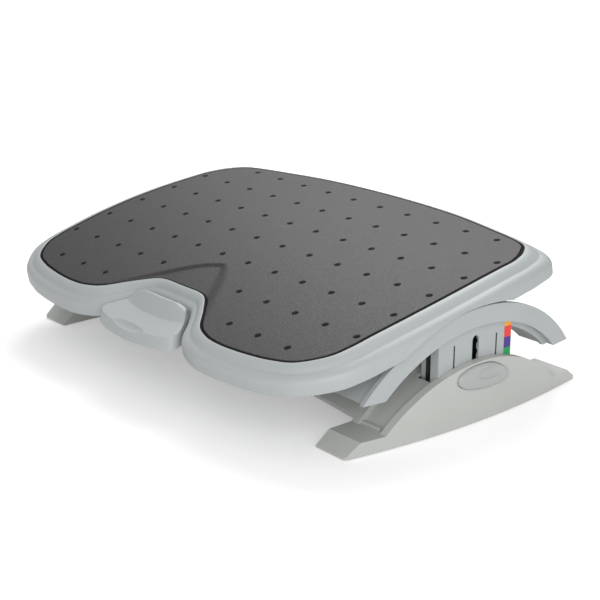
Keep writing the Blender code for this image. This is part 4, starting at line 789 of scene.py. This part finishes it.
def cut_across(shape, faces, axis, low, high, pitch):
    """Cuts faces of a bmesh at equal steps along X or Y."""
    out = Vector((axis == 0, axis == 1, 0))
    for i in range(int((high - low) / pitch) + 1):
        spot = out * (low + i * pitch)
        geom = faces(shape)
        geom += list({edge for face in geom for edge in face.edges})
        geom += list({vert for face in geom if isinstance(face, bmesh.types.BMFace) for vert in face.verts})
        bmesh.ops.bisect_plane(shape, geom=geom, dist=CUT_GAP, plane_co=spot, plane_no=out)


def field_faces(shape):
    """The faces of the mat in and about its sloped field."""
    reach, back = FOLD[-1][0] * MM, FOLD[0][1] * MM
    return [face for face in shape.faces if abs(face.calc_center_median().x) < reach + WALL
            and face.calc_center_median().y < back + 2 * WALL]


def hole_spots():
    """The middles of the mat's holes."""
    middle = Vector(((len(FULL_ROW) - 1) / 2, (len(HOLE_ROWS) - 1) / 2))
    return [((i - middle.x) * HOLE_PITCH[0], (row - middle.y) * HOLE_PITCH[1])
            for row, columns in enumerate(HOLE_ROWS) for i in columns]


def lay_down(verts):
    """Moves points that are drawn flat onto the crown and its sloped field."""
    for vert in verts:
        x, y, z = vert.co
        vert.co.z = crown(y, INSIDE) + z - field_drop(x, y)


def mat_piece(flare):
    """The perforated mat: a crowned sheet with flared holes and a sloped field behind the pedal."""
    piece = prism("perforated_mat", "Z", both_halves(MAT_OUTLINE, OUTLINE_STEPS), -MAT_THICKNESS, 0)
    rounded(piece, MAT_EDGE, segments=2, angle=60)
    places = [Matrix.Translation((x, y, 0)) for x, y in hole_spots()]
    combine(piece, rods("holes", places, HOLE_RADIUS, HOLE_DEPTH))
    combine(piece, rods("flares", places, HOLE_RADIUS - flare, 4 * flare, flare=HOLE_RADIUS + 3 * flare))
    shape = bmesh.new()
    shape.from_mesh(piece.data)
    reach, back = FOLD[-1][0] * MM + WALL, FOLD[0][1] * MM + 2 * WALL
    end = MAT_OUTLINE[-1][1] * MM
    cut_across(shape, lambda s: s.faces[:], 1, -end + ROW_SHIFT, end, ROW_PITCH)
    cut_across(shape, lambda s: s.faces[:], 0, -reach, reach, 2 * reach)
    cut_across(shape, field_faces, 0, FIELD_SHIFT[0] - reach, reach, FIELD_PITCH)
    cut_across(shape, field_faces, 1, FIELD_SHIFT[1] - end, back, FIELD_PITCH)
    lay_down(shape.verts)
    shape.to_mesh(piece.data)
    shape.free()
    return placed(piece, ON_PLATFORM, 28)


def crowned(reach, steps, top, under):
    """A section between two depths below the crown, in Y and Z."""
    spots = evenly(reach, steps)
    return [(y, crown(y, top)) for y in spots] + [(y, crown(y, under)) for y in reversed(spots)]


def slab(name, plan, top, under):
    """A crowned slab between two depths, with a plan outline."""
    section = crowned(max(y for _, y in plan) + JOIN, CROWN_STEPS, top, under)
    return trimmed(prism(name, "X", section, -BEYOND, BEYOND), plan)


def platform_plan(share, steps=PLAN_STEPS):
    """A plan a share of the way from the mat's outline to the rim's."""
    mat, rim = both_halves(MAT_OUTLINE, steps), both_halves(RIM_OUTLINE, steps)
    return [m.lerp(r, share) for m, r in zip(mat, rim)]


def painted_shade_sheet_piece():
    """Painted shade: a thin dark sheet that shows in the mat's holes, with dark plugs in them and a bead in
    the gap round the mat, standing for the shade in the holes and the gap.
    """
    plan = [tuple(p) for p in platform_plan(GAP_SHADE_SECTION[-1][0], OUTLINE_STEPS)]
    piece = slab("mat_painted_shade_sheet", plan, *HOLE_SHADE_DEPTHS)
    # The dark bead: painted shade for the shadowed gap between mat and rim
    combine(piece, ring_loft("gap_shade_bead", GAP_SHADE_SECTION), "UNION")
    # Dark plugs in the holes: painted shade for the depth of each hole
    places = [Matrix.Translation((x, y, -(HOLE_SHADE_STUD_TOP + HOLE_SHADE_DEPTHS[1]) / 2)) for x, y in hole_spots()]
    hole_shade_studs = rods("hole_shade_studs", places, HOLE_RADIUS - INSIDE, HOLE_SHADE_DEPTHS[1] - HOLE_SHADE_STUD_TOP)
    lay_down(hole_shade_studs.data.vertices)
    combine(piece, hole_shade_studs, "UNION")
    return placed(piece, ON_PLATFORM)


def arch_sweep():
    """The room that the arch needs under the platform."""
    section = ring_sector(BEAM_INNER, ARCH_OUTER + SKIRT_GAP, -ARCH_ANGLE, ARCH_ANGLE, SWEEP_STEPS)
    return prism("sweep", "X", section, -BEYOND, BEYOND)


def window():
    """The opening in the platform's front wall that the pedal's arms pass through."""
    front, back = WINDOW_Y
    return box("window", (-WINDOW_HALF, front, BEAM_INNER), (WINDOW_HALF, back, ARM_Z[1] + WINDOW_GAP))


def ring_loft(name, section):
    """A ring round the platform: a section drawn along the plans between mat and rim."""
    shape = bmesh.new()
    loop = first = None
    for share, depth in section:
        plan = platform_plan(share * (1 - INSIDE / RIM_WIDTH), OUTLINE_STEPS)
        ring = [spot.to_3d() for spot in plan]
        for spot in ring:
            spot.z = crown(spot.y, depth * MM + INSIDE)
        if loop is None:
            verts = [shape.verts.new(spot) for spot in ring]
            first = loop = [shape.edges.new((a, b)) for a, b in zip(verts, verts[1:] + verts[:1])]
            continue
        grown = bmesh.ops.extrude_edge_only(shape, edges=loop)["geom"]
        new = [item for item in grown if isinstance(item, bmesh.types.BMVert)]
        loop = [item for item in grown if isinstance(item, bmesh.types.BMEdge)]
        for vert, spot in zip(new, ring):
            vert.co = spot
    bmesh.ops.bridge_loops(shape, edges=first + loop)
    bmesh.ops.recalc_face_normals(shape, faces=shape.faces)
    return finished(name, shape)


def rim_piece():
    """The crowned rim, from the mat's outline out to the skirt and back under."""
    piece = ring_loft("platform_rim", RIM_SECTION)
    combine(piece, arch_sweep())
    combine(piece, window())
    return placed(piece, ON_PLATFORM, 40)


def tray_piece():
    """The tray inside the rim, with its ribs, lugs and screw seats."""
    piece = slab("platform_tray", [tuple(p) for p in platform_plan(TRAY_SHARE)], TRAY_SEAT, TRAY_UNDER)
    for rib in tray_ribs():
        combine(piece, rib, "UNION")
    combine(piece, arch_sweep())
    for (y, z), where in ((PEDAL_PIVOT, PEDAL_LUG_X), (BRAKE_PIVOT, BRAKE_LUG_X)):
        top = crown(y, TRAY_UNDER - 2 * JOIN)
        angles = [math.pi * i / LUG_STEPS for i in range(LUG_STEPS + 1)]
        turn = [Vector((math.cos(a), math.sin(a))) * LUG_RADIUS for a in angles]
        low = crown(y - LUG_RADIUS, TRAY_UNDER + LUG_DROP)
        outline = [(y - LUG_RADIUS, low)] + [(y - p.x, z - p.y) for p in turn] + [(y + LUG_RADIUS, top)]
        for side in SIDES:
            combine(piece, prism("lug", "X", outline, *span(side, *where)), "UNION")
        combine(piece, rods("pin_hole", [along_x(0, y, z)], PIN_HOLE, 2 * (where[1] + WALL)))
    combine(piece, window())
    spots = ((SHOE_X, RIDE_RADIUS * math.sin(sum(SHOE_ANGLES) / 2)), (SLOT_X, KEEPER_SCREW_Y))
    seats = [Matrix.Translation((side * x, end * y, crown(y, TRAY_SEAT)))
             for x, y in spots for side in SIDES for end in SIDES]
    combine(piece, rods("screw_holes", seats, SCREW_HOLE, HOLE_DEPTH))
    combine(piece, rods("head_seats", seats, HEAD_RADIUS + HEAD_GAP, 2 * HEAD_HEIGHT + 2 * FIT))
    merged(piece)
    return placed(piece, ON_PLATFORM)


def tray_ribs():
    """Stiffening ribs under the tray."""
    half = RIB_THICKNESS / 2
    root = TRAY_UNDER - JOIN
    section = crowned(ARCH_REACH, RIB_STEPS, root, RIB_DEPTH)
    spots = [side * x for side in SIDES for x in RIB_SPOTS_X]
    ribs = [prism("rib", "X", section, x - half, x + half) for x in spots]
    for y in RIB_SPOTS_Y:
        start = PEDAL_BAY_X if y < 0 else 0
        for side in SIDES:
            low, far = span(side, start, RIB_END_X)
            ribs.append(box("rib", (low, y - half, crown(y, RIB_DEPTH)), (far, y + half, crown(y, root))))
    return ribs


def pedal_loop(half, inset):
    """A pedal outline of both halves, drawn in all round by an inset."""
    points = both_halves(half, PLAN_STEPS)
    count = len(points)
    loop = []
    for i, point in enumerate(points):
        along = points[(i + 1) % count] - points[i - 1]
        inward = Vector((-along.y, along.x)).normalized()
        loop.append(point + inward * inset)
    return loop


def pedal_blank(name, inset, bottom):
    """The pedal's outer form, or the hollow inside it when drawn in by an inset."""
    low, high = pedal_loop(PEDAL_FOOT, inset + INSIDE), pedal_loop(PEDAL_BROW, inset + INSIDE)
    lean = (bottom - PEDAL_BOTTOM) / PEDAL_RISE
    shape = bmesh.new()
    ring = [a.lerp(b, lean).to_3d() + Vector((0, 0, bottom)) for a, b in zip(low, high)]
    face = shape.faces.new([shape.verts.new(spot) for spot in ring])
    grown = bmesh.ops.extrude_face_region(shape, geom=[face])["geom"]
    new = [item for item in grown if isinstance(item, bmesh.types.BMVert)]
    for vert, spot in zip(new, high):
        vert.co = (spot.x, spot.y, PEDAL_BOTTOM + PEDAL_RISE)
    bmesh.ops.recalc_face_normals(shape, faces=shape.faces)
    piece = finished(name, shape)
    top, floor = CROWN_TOP - inset - INSIDE, bottom - WALL
    profile = [Vector(p) for p in PEDAL_PROFILE]
    side = [(p.x * MM - inset, top - p.y * MM) for p in curve_through(profile, PLAN_STEPS, False)]
    side += [(side[-1][0], floor), (PEDAL_START_Y, floor), (PEDAL_START_Y, side[0][1])]
    combine(piece, prism("side", "X", side, -BEYOND, BEYOND), "INTERSECT")
    front = [(p.x, top - p.y) for p in mirrored(PEDAL_FRONT)]
    front += [(front[-1][0], floor), (front[0][0], floor)]
    combine(piece, prism("front", "Y", front, -BEYOND, 0), "INTERSECT")
    return combine(piece, tread_space(inset))


def tread_space(inset):
    """The space over the tread, bounded behind by the riser that climbs to the wedge's crest."""
    start, depth = PEDAL_TREAD[0][0] * MM, PEDAL_TREAD[0][1] * MM
    riser = curve_through([Vector(p) for p in PEDAL_RISER], RISER_STEPS, False)
    rings = []
    for crease, crest in zip(mirrored(PEDAL_CREASE), mirrored(PEDAL_CREST)):
        low = between(PEDAL_TREAD, crease.y / MM) * MM
        high = min(between(PEDAL_FRONT, abs(crease.x) / MM) * MM, low - 2 * JOIN)
        line = [(start, depth)]
        line += [(crease.y + (crest.y - crease.y) * p.x, low + (high - low) * p.y) for p in riser]
        line += [(crest.y, -WALL), (start, -WALL)]
        rings.append([(crease.x, y + inset / 2, CROWN_TOP - inset - INSIDE - down) for y, down in line])
    return lofted("tread_space", rings)


def pedal_piece(edge):
    """The release pedal: a hollow shell with a finger scoop, and its two arms."""
    piece = merged(pedal_blank("pedal_shell", 0, PEDAL_BOTTOM), flat=0.3)
    rounded(piece, edge, segments=4, angle=40)
    hollow = pedal_blank("hollow", PEDAL_SHELL, PEDAL_BOTTOM - PEDAL_SHELL)
    combine(hollow, dome("scoop_wall", SCOOP_CENTRE, [half + PEDAL_SHELL for half in SCOOP_HALF]))
    combine(piece, hollow)
    combine(piece, dome("scoop", SCOOP_CENTRE, SCOOP_HALF))
    front, back = ARM_WEB_Y
    for side in SIDES:
        low, far = span(side, *ARM_X)
        combine(piece, box("arm", (low, back, ARM_Z[0]), (far, ARM_END_Y, ARM_Z[1])), "UNION")
        web = box("web", (low + JOIN, front, PEDAL_BOTTOM + 4 * JOIN),
                  (far - JOIN, back, CROWN_TOP - ARM_WEB_DEPTH))
        combine(piece, web, "UNION")
    reach, tail = ARM_X[1] - 2 * JOIN, ARM_END_Y - JOIN
    bar = box("bar", (-reach, tail - ARM_BAR, ARM_Z[0] + 2 * JOIN), (reach, tail, BAR_TOP))
    combine(piece, bar, "UNION")
    combine(piece, rods("pin_hole", [along_x(0, *PEDAL_PIVOT)], PIN_HOLE, 2 * (ARM_X[1] + WALL)))
    return placed(piece, ON_PLATFORM, 30)


def arch_piece(edge):
    """The arch: a curved plate between two rounded cheeks, with a box beam beside each cheek."""
    piece = prism("lift_arch", "X", arch_ring(PLATE_UNDER, PLATE_TOP, PLATE_SHORT), -BEYOND, BEYOND)
    plan = bowed(0, ARCH_OUTER_X - ARCH_LIP + 2 * JOIN, ARCH_BOW, ARCH_REACH)[1:-1]
    both = plan + [(-x, y) for x, y in reversed(plan)]
    trimmed(piece, both)
    leg_x = (LEG_X[0] + LEG_X[1] - WALL) / 2
    for side in SIDES:
        combine(piece, arch_cheek(side, edge), "UNION")
        for wall in arch_beam(side):
            combine(piece, wall, "UNION")
        slot = ring_sector(PLATE_UNDER - WALL, PLATE_TOP + WALL, -SLOT_HALF_ANGLE, SLOT_HALF_ANGLE,
                           SLOT_STEPS, AXIS_HEIGHT)
        reach = SLOT_WIDTH / 2
        combine(piece, prism("slot", "X", slot, *span(side, SLOT_X - reach, SLOT_X + reach)))
        holes = [Matrix.Translation((side * x, end * y, math.sqrt(BEAM_INNER ** 2 - y ** 2) + AXIS_HEIGHT))
                 for x, y in ((sum(RIB_X) / 2, COLUMN_SCREW_Y), (leg_x, LEG_SCREW_Y)) for end in SIDES]
        combine(piece, rods("screw_holes", holes, SCREW_HOLE, HOLE_DEPTH))
    groove = ring_sector(PLATE_TOP - STRIP_SINK, PLATE_TOP + WALL, STRIP_ANGLES[0] - FIT / PLATE_TOP,
                         STRIP_ANGLES[1] + FIT / PLATE_TOP, GROOVE_STEPS, AXIS_HEIGHT)
    combine(piece, prism("groove", "X", groove, -STRIP_HALF - FIT, STRIP_HALF + FIT))
    return placed(piece, ON_STAND, 30)


def arch_cheek(side, edge):
    """The arch's outer side: a rounded band, with a thinner lip above the plate."""
    root = RIB_X[0] - LIP
    cheek = prism("cheek", "X", arch_ring(ARCH_INNER, ARCH_OUTER), *span(side, root, BEYOND))
    plan = bowed(root - WALL, ARCH_OUTER_X, ARCH_BOW, ARCH_REACH)
    trimmed(cheek, sided(plan, side))
    rounded(cheek, edge, segments=5)
    ledge = PLATE_UNDER + 2 * JOIN
    for depth, inner, outer in ((LIP, ARCH_INNER - WALL, ledge),
                                (ARCH_LIP, ledge - JOIN, ARCH_OUTER + WALL)):
        sector = ring_sector(inner, outer, -ARCH_ANGLE, ARCH_ANGLE, LEDGE_STEPS, AXIS_HEIGHT)
        inside = prism("inside", "X", sector, *span(side, root - WALL, BEYOND))
        plan = bowed(root - 2 * WALL, ARCH_OUTER_X - depth, ARCH_BOW, ARCH_REACH)
        trimmed(inside, sided(plan, side), -BEYOND)
        combine(cheek, inside)
    return rounded(cheek, CHEEK_LIP_EDGE, segments=2, angle=50)


def arch_beam(side):
    """The walls of the box under the plate that runs in the foot's tunnel."""
    rib = arch_ring(BEAM_INNER, PLATE_UNDER + BEAM_ROOT, 2 * PLATE_SHORT)
    rib = prism("rib", "X", rib, *span(side, *RIB_X))
    plan = bowed(RIB_X[0] - WALL, FOOT_OUTER_X - LIP - BEAM_GAP, FOOT_BOW, ARCH_REACH)
    trimmed(rib, sided(plan, side))
    low = RIB_OUTER_X + BEAM_GAP
    floor = prism("floor", "X", arch_ring(BEAM_INNER, BEAM_INNER + BEAM_WALL, 0, RIDGE_HEIGHT),
                  *span(side, low, RIB_X[0] + JOIN))
    inner = arch_ring(BEAM_INNER + JOIN, PLATE_UNDER + JOIN, PLATE_SHORT, RIDGE_HEIGHT)
    inner = prism("inner", "X", inner, *span(side, low + JOIN / 5, low + BEAM_WALL))
    return rounded(rib, JOIN, segments=2), floor, inner


def hump():
    """Radius of the feet's rounded top and the height of its centre."""
    rise = HUMP_TOP - BLOCK_TOP
    radius = (HUMP_HALF ** 2 + rise ** 2) / (2 * rise)
    return radius, HUMP_TOP - radius


def base_piece(edge):
    """The base: two hollow feet with a rounded hump, and the vault between them."""
    radius, centre = hump()
    shoulder = [(BLOCK_END, BLOCK_TOP), (FOOT_END, FOOT_EDGE_TOP), (FOOT_END, FOOT_BOTTOM)]
    crest = arc(centre, radius, -HUMP_HALF, HUMP_HALF, PLATE_STEPS)
    profile = [(-y, z) for y, z in reversed(shoulder)] + crest + shoulder
    half = HUMP_HALF - VAULT_SHORT
    top = arc(centre, radius, -half, half, HUMP_STEPS)
    under = arc(centre, radius - VAULT_THICKNESS, -half, half, HUMP_STEPS)
    reach = FOOT_INNER_X + FOOT_OVERLAP
    piece = prism("base_moulding", "X", top + under[::-1], -reach, reach)
    front = [(x, half + JOIN - VAULT_BOW * max(0, 1 - (x / FOOT_INNER_X) ** 2))
             for x in evenly(reach, VAULT_STEPS)]
    plan = front + [(x, -y) for x, y in reversed(front)]
    trimmed(piece, plan)
    rounded(piece, JOIN, segments=2, angle=60)
    for side in SIDES:
        foot = prism("foot", "X", profile, *span(side, FOOT_INNER_X, BEYOND))
        plan = bowed(FOOT_INNER_X - FOOT_OVERLAP, FOOT_OUTER_X, FOOT_BOW, FOOT_END, FOOT_CORNER)
        trimmed(foot, sided(plan, side), -WALL)
        rounded(foot, edge, angle=25)
        hollow_foot(foot, side)
        combine(piece, foot, "UNION")
    return placed(piece, ON_STAND, 26)


def hollow_foot(foot, side):
    """Cuts a foot's tunnel, the room under it, its wells and its screw holes."""
    radius, centre = hump()
    lip_x = FOOT_OUTER_X - LIP
    half = HUMP_HALF - TUNNEL_SHORT
    clear = HUMP_HALF + TUNNEL_END
    floor = arc(centre, radius - TUNNEL_DEPTH, -half, half, TUNNEL_STEPS)
    ridge_top = BLOCK_TOP + RIDGE_HEIGHT
    ends = [(half, BLOCK_TOP), (clear, BLOCK_TOP), (clear, BEYOND)]
    outer = [(-y, z) for y, z in reversed(ends)] + floor + ends
    ends = [(half, ridge_top), (half + RIDGE_WIDTH, ridge_top), (half + RIDGE_WIDTH, BLOCK_TOP)] + ends[1:]
    inner = [(-y, z) for y, z in reversed(ends)] + floor + ends
    for section, low, far in ((outer, RIDGE_END_X, BEYOND), (inner, RIB_OUTER_X, RIDGE_END_X + FIT)):
        tunnel = prism("tunnel", "X", section, *span(side, low, far))
        plan = bowed(RIB_OUTER_X - WALL, lip_x, FOOT_BOW, clear + WALL)
        trimmed(tunnel, sided(plan, side), -WALL)
        combine(foot, tunnel)
    half -= WALL + 2 * JOIN
    room = arc(centre, radius - TUNNEL_DEPTH - WALL, -half, half, ROOM_STEPS)
    end_y = FOOT_END - WALL - FIT
    end = [(BLOCK_END - TUNNEL_END, BLOCK_TOP - WALL), (end_y, FOOT_EDGE_TOP), (end_y, -WALL)]
    section = [(-y, z) for y, z in reversed(end)] + room + end
    cavity = prism("cavity", "X", section, *span(side, FOOT_INNER_X + WALL, BEYOND))
    plan = bowed(FOOT_INNER_X + WALL, lip_x, FOOT_BOW, FOOT_END - WALL)
    trimmed(cavity, sided(plan, side), -WALL)
    combine(foot, cavity)
    low, far = span(side, LEG_X[0] - WELL_GAP, COLUMN_WEB_X[1] + HEAD_GAP)
    reach = COLUMN_HALF + WELL_GAP
    combine(foot, box("well", (low, -reach, -WALL), (far, reach, BEYOND)))
    combine(foot, prism("button_well", "X", button_outline(BUTTON_GAP), *span(side, BUTTON_WELL_X, BEYOND)))
    place = along_x(side * BUTTON_WELL_X, 0, LATCH_Z)
    combine(foot, rods("shank_hole", [place], SHANK_RADIUS + BUTTON_GAP, 2 * WALL + 2 * SHANK_RADIUS))
    rounded(foot, FIT, segments=1, angle=60)
    boss_top, boss_low = BLOCK_TOP - WALL + 2 * JOIN, COVER_TOP + FIT
    spots = [(side * BOSS_X, y) for y in (-BOSS_Y, BOSS_Y)]
    middles = [Matrix.Translation((x, y, (boss_top + boss_low) / 2)) for x, y in spots]
    combine(foot, rods("bosses", middles, BOSS_RADIUS, boss_top - boss_low), "UNION")
    middles = [Matrix.Translation((x, y, boss_low)) for x, y in spots]
    combine(foot, rods("boss_holes", middles, SCREW_HOLE, 2 * (boss_top - boss_low - JOIN)))


def under_arch(radius, half, bottom, steps=RIB_STEPS):
    """A leg's outline in Y and Z: an arc under the arch, straight sides and a level bottom."""
    return [(-half, bottom)] + arc(AXIS_HEIGHT, radius, -half, half, steps) + [(half, bottom)]


def leg_shade_strip(side, label):
    """A dark strip that wraps the outer side of an inner leg: painted shade on that side."""
    outer = LEG_X[1] + FIT
    outline = under_arch(BEAM_INNER - 2 * FIT, LEG_HALF + FIT, COLUMN_BOTTOM + FIT)
    piece = prism(f"{label}_leg_shade_strip", "X", outline, *span(side, outer - SHADE_STRIP_WRAP, outer))
    inner = under_arch(BEAM_INNER + WALL, LEG_HALF + FIT / 6, 0)
    combine(piece, prism("leg", "X", inner, *span(side, 0, LEG_X[1] + FIT / 6)))
    return placed(piece, ON_STAND)


def slit_shade_fills(side, label):
    """Dark linings in the two slits of a column: painted shade for the shade inside the slits."""
    low, far = span(side, COLUMN_WEB_X[0] + FIT, COLUMN_WEB_X[1] - FIT)
    pieces = [box(f"{label}_slit_shade_fill_{'front' if end < 0 else 'rear'}",
                  (low, end * COLUMN_SLIT_Y - SLIT_WIDTH / 2 + INSIDE, SLIT_Z[0] + INSIDE),
                  (far, end * COLUMN_SLIT_Y + SLIT_WIDTH / 2 - INSIDE, SLIT_Z[1] - INSIDE)) for end in SIDES]
    for piece in pieces:
        piece.data.transform(ON_STAND)
    return pieces


def button_outline(grow=0.0):
    """The button's teardrop outline, grown all round."""
    centre = Vector(BUTTON_CENTRE)
    loop = curve_through([Vector(p) * MM for p in BUTTON_OUTLINE], OUTLINE_STEPS)
    return [tuple(spot + (spot - centre).normalized() * grow) for spot in loop]


def button_piece(side, label):
    """A height button: a rounded teardrop with a thumb dimple, on its shank."""
    rings = [[(side * (BUTTON_INNER_X + rise * MM), y, z) for y, z in button_outline(-inset * MM)]
             for inset, rise in BUTTON_SECTION]
    piece = lofted(f"{label}_button_cap", rings)
    combine(piece, dome("dimple", (side * BUTTON_OUTER_X, *DIMPLE_CENTRE), (DIMPLE_DEPTH, *DIMPLE_HALF)))
    low, high = NOSE_END_X + FIT, BUTTON_INNER_X + SHANK_SINK
    shank = rods("shank", [along_x(side * (low + high) / 2, 0, LATCH_Z)], SHANK_RADIUS, high - low)
    combine(piece, shank, "UNION")
    return placed(piece, ON_STAND, 30)


# Operators

class FOOTREST_OT_finishes(bpy.types.Operator):
    """Make every finish and put it on the CAD nodes that stay"""

    bl_idname = "footrest.finishes"
    bl_label = "Finishes"

    def execute(self, context):
        make_paints(context.scene.footrest_colours)
        slots = {part["node"]: part["material_slot"] for part in frame["record"]["subparts"]}
        for name, node in frame["nodes"].items():
            node.data.materials.clear()
            node.data.materials.append(PAINTS[slots[name]])
        return {"FINISHED"}


class FOOTREST_OT_mat(bpy.types.Operator):
    """Model the perforated rubber mat and the dark sheet with plugs under it, painted shade for its holes and
    the gap round it
    """

    bl_idname = "footrest.mat"
    bl_label = "Mat"

    def execute(self, context):
        piece = mat_piece(context.scene.footrest_sizes.hole_flare)
        dress(piece, "platform", "charcoal_rubber", "foot_mat")
        # Dark sheet, plugs and bead: painted shade for the holes and the gap round the mat
        dress(painted_shade_sheet_piece(), "platform", "black_rubber")
        return {"FINISHED"}


class FOOTREST_OT_platform(bpy.types.Operator):
    """Model the platform's rim and tray"""

    bl_idname = "footrest.platform"
    bl_label = "Platform"

    def execute(self, context):
        dress(rim_piece(), "platform", "rim_grey", "platform_shell")
        dress(tray_piece(), "platform", "rim_grey")
        return {"FINISHED"}


class FOOTREST_OT_pedal(bpy.types.Operator):
    """Model the release pedal"""

    bl_idname = "footrest.pedal"
    bl_label = "Pedal"

    def execute(self, context):
        piece = pedal_piece(context.scene.footrest_sizes.pedal_edge)
        dress(piece, "pedal", "rim_grey", "release_pedal")
        return {"FINISHED"}


class FOOTREST_OT_arch(bpy.types.Operator):
    """Model the arch, and the dark strips on its legs and linings in its columns' slits that are painted
    shade
    """

    bl_idname = "footrest.arch"
    bl_label = "Arch"

    def execute(self, context):
        piece = arch_piece(context.scene.footrest_sizes.cheek_edge)
        dress(piece, "lift_frame", "rim_grey", "arch_frame")
        for label, side in LABELS:
            # Dark leg strips and slit linings: painted shade
            for piece in (leg_shade_strip(side, label), *slit_shade_fills(side, label)):
                dress(piece, "lift_frame", "inner_black")
        return {"FINISHED"}


class FOOTREST_OT_base(bpy.types.Operator):
    """Model the base with its two feet"""

    bl_idname = "footrest.base"
    bl_label = "Base"

    def execute(self, context):
        piece = base_piece(context.scene.footrest_sizes.edge)
        dress(piece, "base", "base_grey", "base_frame")
        return {"FINISHED"}


class FOOTREST_OT_buttons(bpy.types.Operator):
    """Model the two height buttons"""

    bl_idname = "footrest.buttons"
    bl_label = "Height buttons"

    def execute(self, context):
        for label, side in LABELS:
            piece = button_piece(side, label)
            dress(piece, f"{label}_button", "button_grey", f"{label}_height_button")
        return {"FINISHED"}


class FOOTREST_OT_stage(bpy.types.Operator):
    """Set the floor, the soft light and the camera"""

    bl_idname = "footrest.stage"
    bl_label = "Studio"

    def execute(self, context):
        scene = context.scene
        studio = scene.footrest_studio
        scene.view_settings.view_transform = "Standard"
        set_floor(scene.footrest_colours.floor)
        set_world(scene)
        set_lamp("key_box", *KEY_BOX, studio.key)
        set_lamp("camera_fill", *CAMERA_FILL, studio.fill)
        set_camera(scene, studio.lens)
        return {"FINISHED"}


def set_floor(colour):
    """A pale floor that shows white to the camera and keeps the shadow."""
    shape = bmesh.new()
    bmesh.ops.create_grid(shape, x_segments=2, y_segments=2, size=FLOOR_HALF)
    floor = finished("studio_floor", shape)
    paint = bpy.data.materials.new("studio_paper")
    paint.use_nodes = True
    tree = paint.node_tree
    shader = tree.nodes["Principled BSDF"]
    shader.inputs["Base Color"].default_value = (*colour, 1)
    shader.inputs["Roughness"].default_value = 0.9
    shader.inputs["Specular IOR Level"].default_value = 0.1
    path = add_node(tree, "ShaderNodeLightPath")
    glow = add_node(tree, "ShaderNodeEmission", {"Color": (1, 1, 1, 1)})
    spot = add_node(tree, "ShaderNodeTexCoord")
    away = add_node(tree, "ShaderNodeVectorMath", {"operation": "LENGTH"}, {0: (spot, "Object")})
    level = add_node(tree, "ShaderNodeMapRange",
                     {"From Min": GLOW_REACH[0], "From Max": GLOW_REACH[1],
                      "To Min": GLOW[0], "To Max": GLOW[1]},
                     {"Value": (away, "Value")})
    lift = add_node(tree, "ShaderNodeMath", {"operation": "MULTIPLY"},
                    {0: (path, "Is Camera Ray"), 1: (level, "Result")})
    tree.links.new(lift.outputs[0], glow.inputs["Strength"])
    both = add_node(tree, "ShaderNodeAddShader", None, {0: (shader, "BSDF"), 1: (glow, "Emission")})
    tree.links.new(both.outputs[0], tree.nodes["Material Output"].inputs["Surface"])
    floor.data.materials.append(paint)


def set_world(scene):
    """A pale surround that shows white to the camera and lights at half of that."""
    world = bpy.data.worlds.new("studio_surround")
    scene.world = world
    world.use_nodes = True
    tree = world.node_tree
    back = tree.nodes["Background"]
    path = add_node(tree, "ShaderNodeLightPath")
    level = add_node(tree, "ShaderNodeMapRange", {"To Min": 0.5, "To Max": 1.0},
                     {"Value": (path, "Is Camera Ray")})
    back.inputs["Color"].default_value = (1, 1, 1, 1)
    tree.links.new(level.outputs["Result"], back.inputs["Strength"])


def set_lamp(name, place, aim, size, power):
    """A square soft box at a place, facing a point."""
    lamp = bpy.data.lights.new(name, "AREA")
    lamp.size = size
    lamp.energy = power
    made = bpy.data.objects.new(name, lamp)
    bpy.context.scene.collection.objects.link(made)
    made.location = place
    made.rotation_mode = "QUATERNION"
    made.rotation_quaternion = (Vector(aim) - Vector(place)).to_track_quat("-Z", "Y")


def set_camera(scene, lens):
    """The camera that took the photograph."""
    camera = bpy.data.cameras.new("camera")
    camera.sensor_width = SENSOR_WIDTH
    camera.lens = lens
    made = bpy.data.objects.new("camera", camera)
    scene.collection.objects.link(made)
    level = math.cos(CAMERA_ELEVATION)
    back = Vector((math.sin(CAMERA_AZIMUTH) * level, -math.cos(CAMERA_AZIMUTH) * level,
                   math.sin(CAMERA_ELEVATION)))
    made.location = CAMERA_PLACE
    made.rotation_mode = "QUATERNION"
    made.rotation_quaternion = (-back).to_track_quat("-Z", "Y")
    camera.clip_start, camera.clip_end = CAMERA_RANGE
    scene.camera = made


class FOOTREST_PT_panel(bpy.types.Panel):
    """Lists the footrest's pieces and settings."""

    bl_idname = "FOOTREST_PT_panel"
    bl_label = "Footrest"
    bl_space_type = "VIEW_3D"
    bl_region_type = "UI"
    bl_category = "Footrest"

    def draw(self, context):
        scene = context.scene
        for group in (scene.footrest_colours, scene.footrest_sizes, scene.footrest_studio):
            for name in group.__annotations__:
                self.layout.prop(group, name)
        for operator in OPERATORS:
            self.layout.operator(operator.bl_idname)


GROUPS = {"footrest_colours": FootrestColours, "footrest_sizes": FootrestSizes,
          "footrest_studio": FootrestStudio}
OPERATORS = (FOOTREST_OT_finishes, FOOTREST_OT_mat, FOOTREST_OT_platform, FOOTREST_OT_pedal,
             FOOTREST_OT_arch, FOOTREST_OT_base, FOOTREST_OT_buttons, FOOTREST_OT_stage)


def register():
    """Registers the settings, operators and panel."""
    for name, group in GROUPS.items():
        bpy.utils.register_class(group)
        setattr(bpy.types.Scene, name, PointerProperty(type=group))
    for item in (*OPERATORS, FOOTREST_PT_panel):
        bpy.utils.register_class(item)


def unregister():
    """Takes back what register added."""
    for item in (FOOTREST_PT_panel, *OPERATORS):
        bpy.utils.unregister_class(item)
    for name, group in GROUPS.items():
        delattr(bpy.types.Scene, name)
        bpy.utils.unregister_class(group)


def main():
    """Makes every piece in order."""
    register()
    bpy.ops.footrest.finishes()
    bpy.ops.footrest.mat()
    bpy.ops.footrest.platform()
    bpy.ops.footrest.pedal()
    bpy.ops.footrest.arch()
    bpy.ops.footrest.base()
    bpy.ops.footrest.buttons()
    bpy.ops.footrest.stage()


if __name__ == "__main__":
    main()
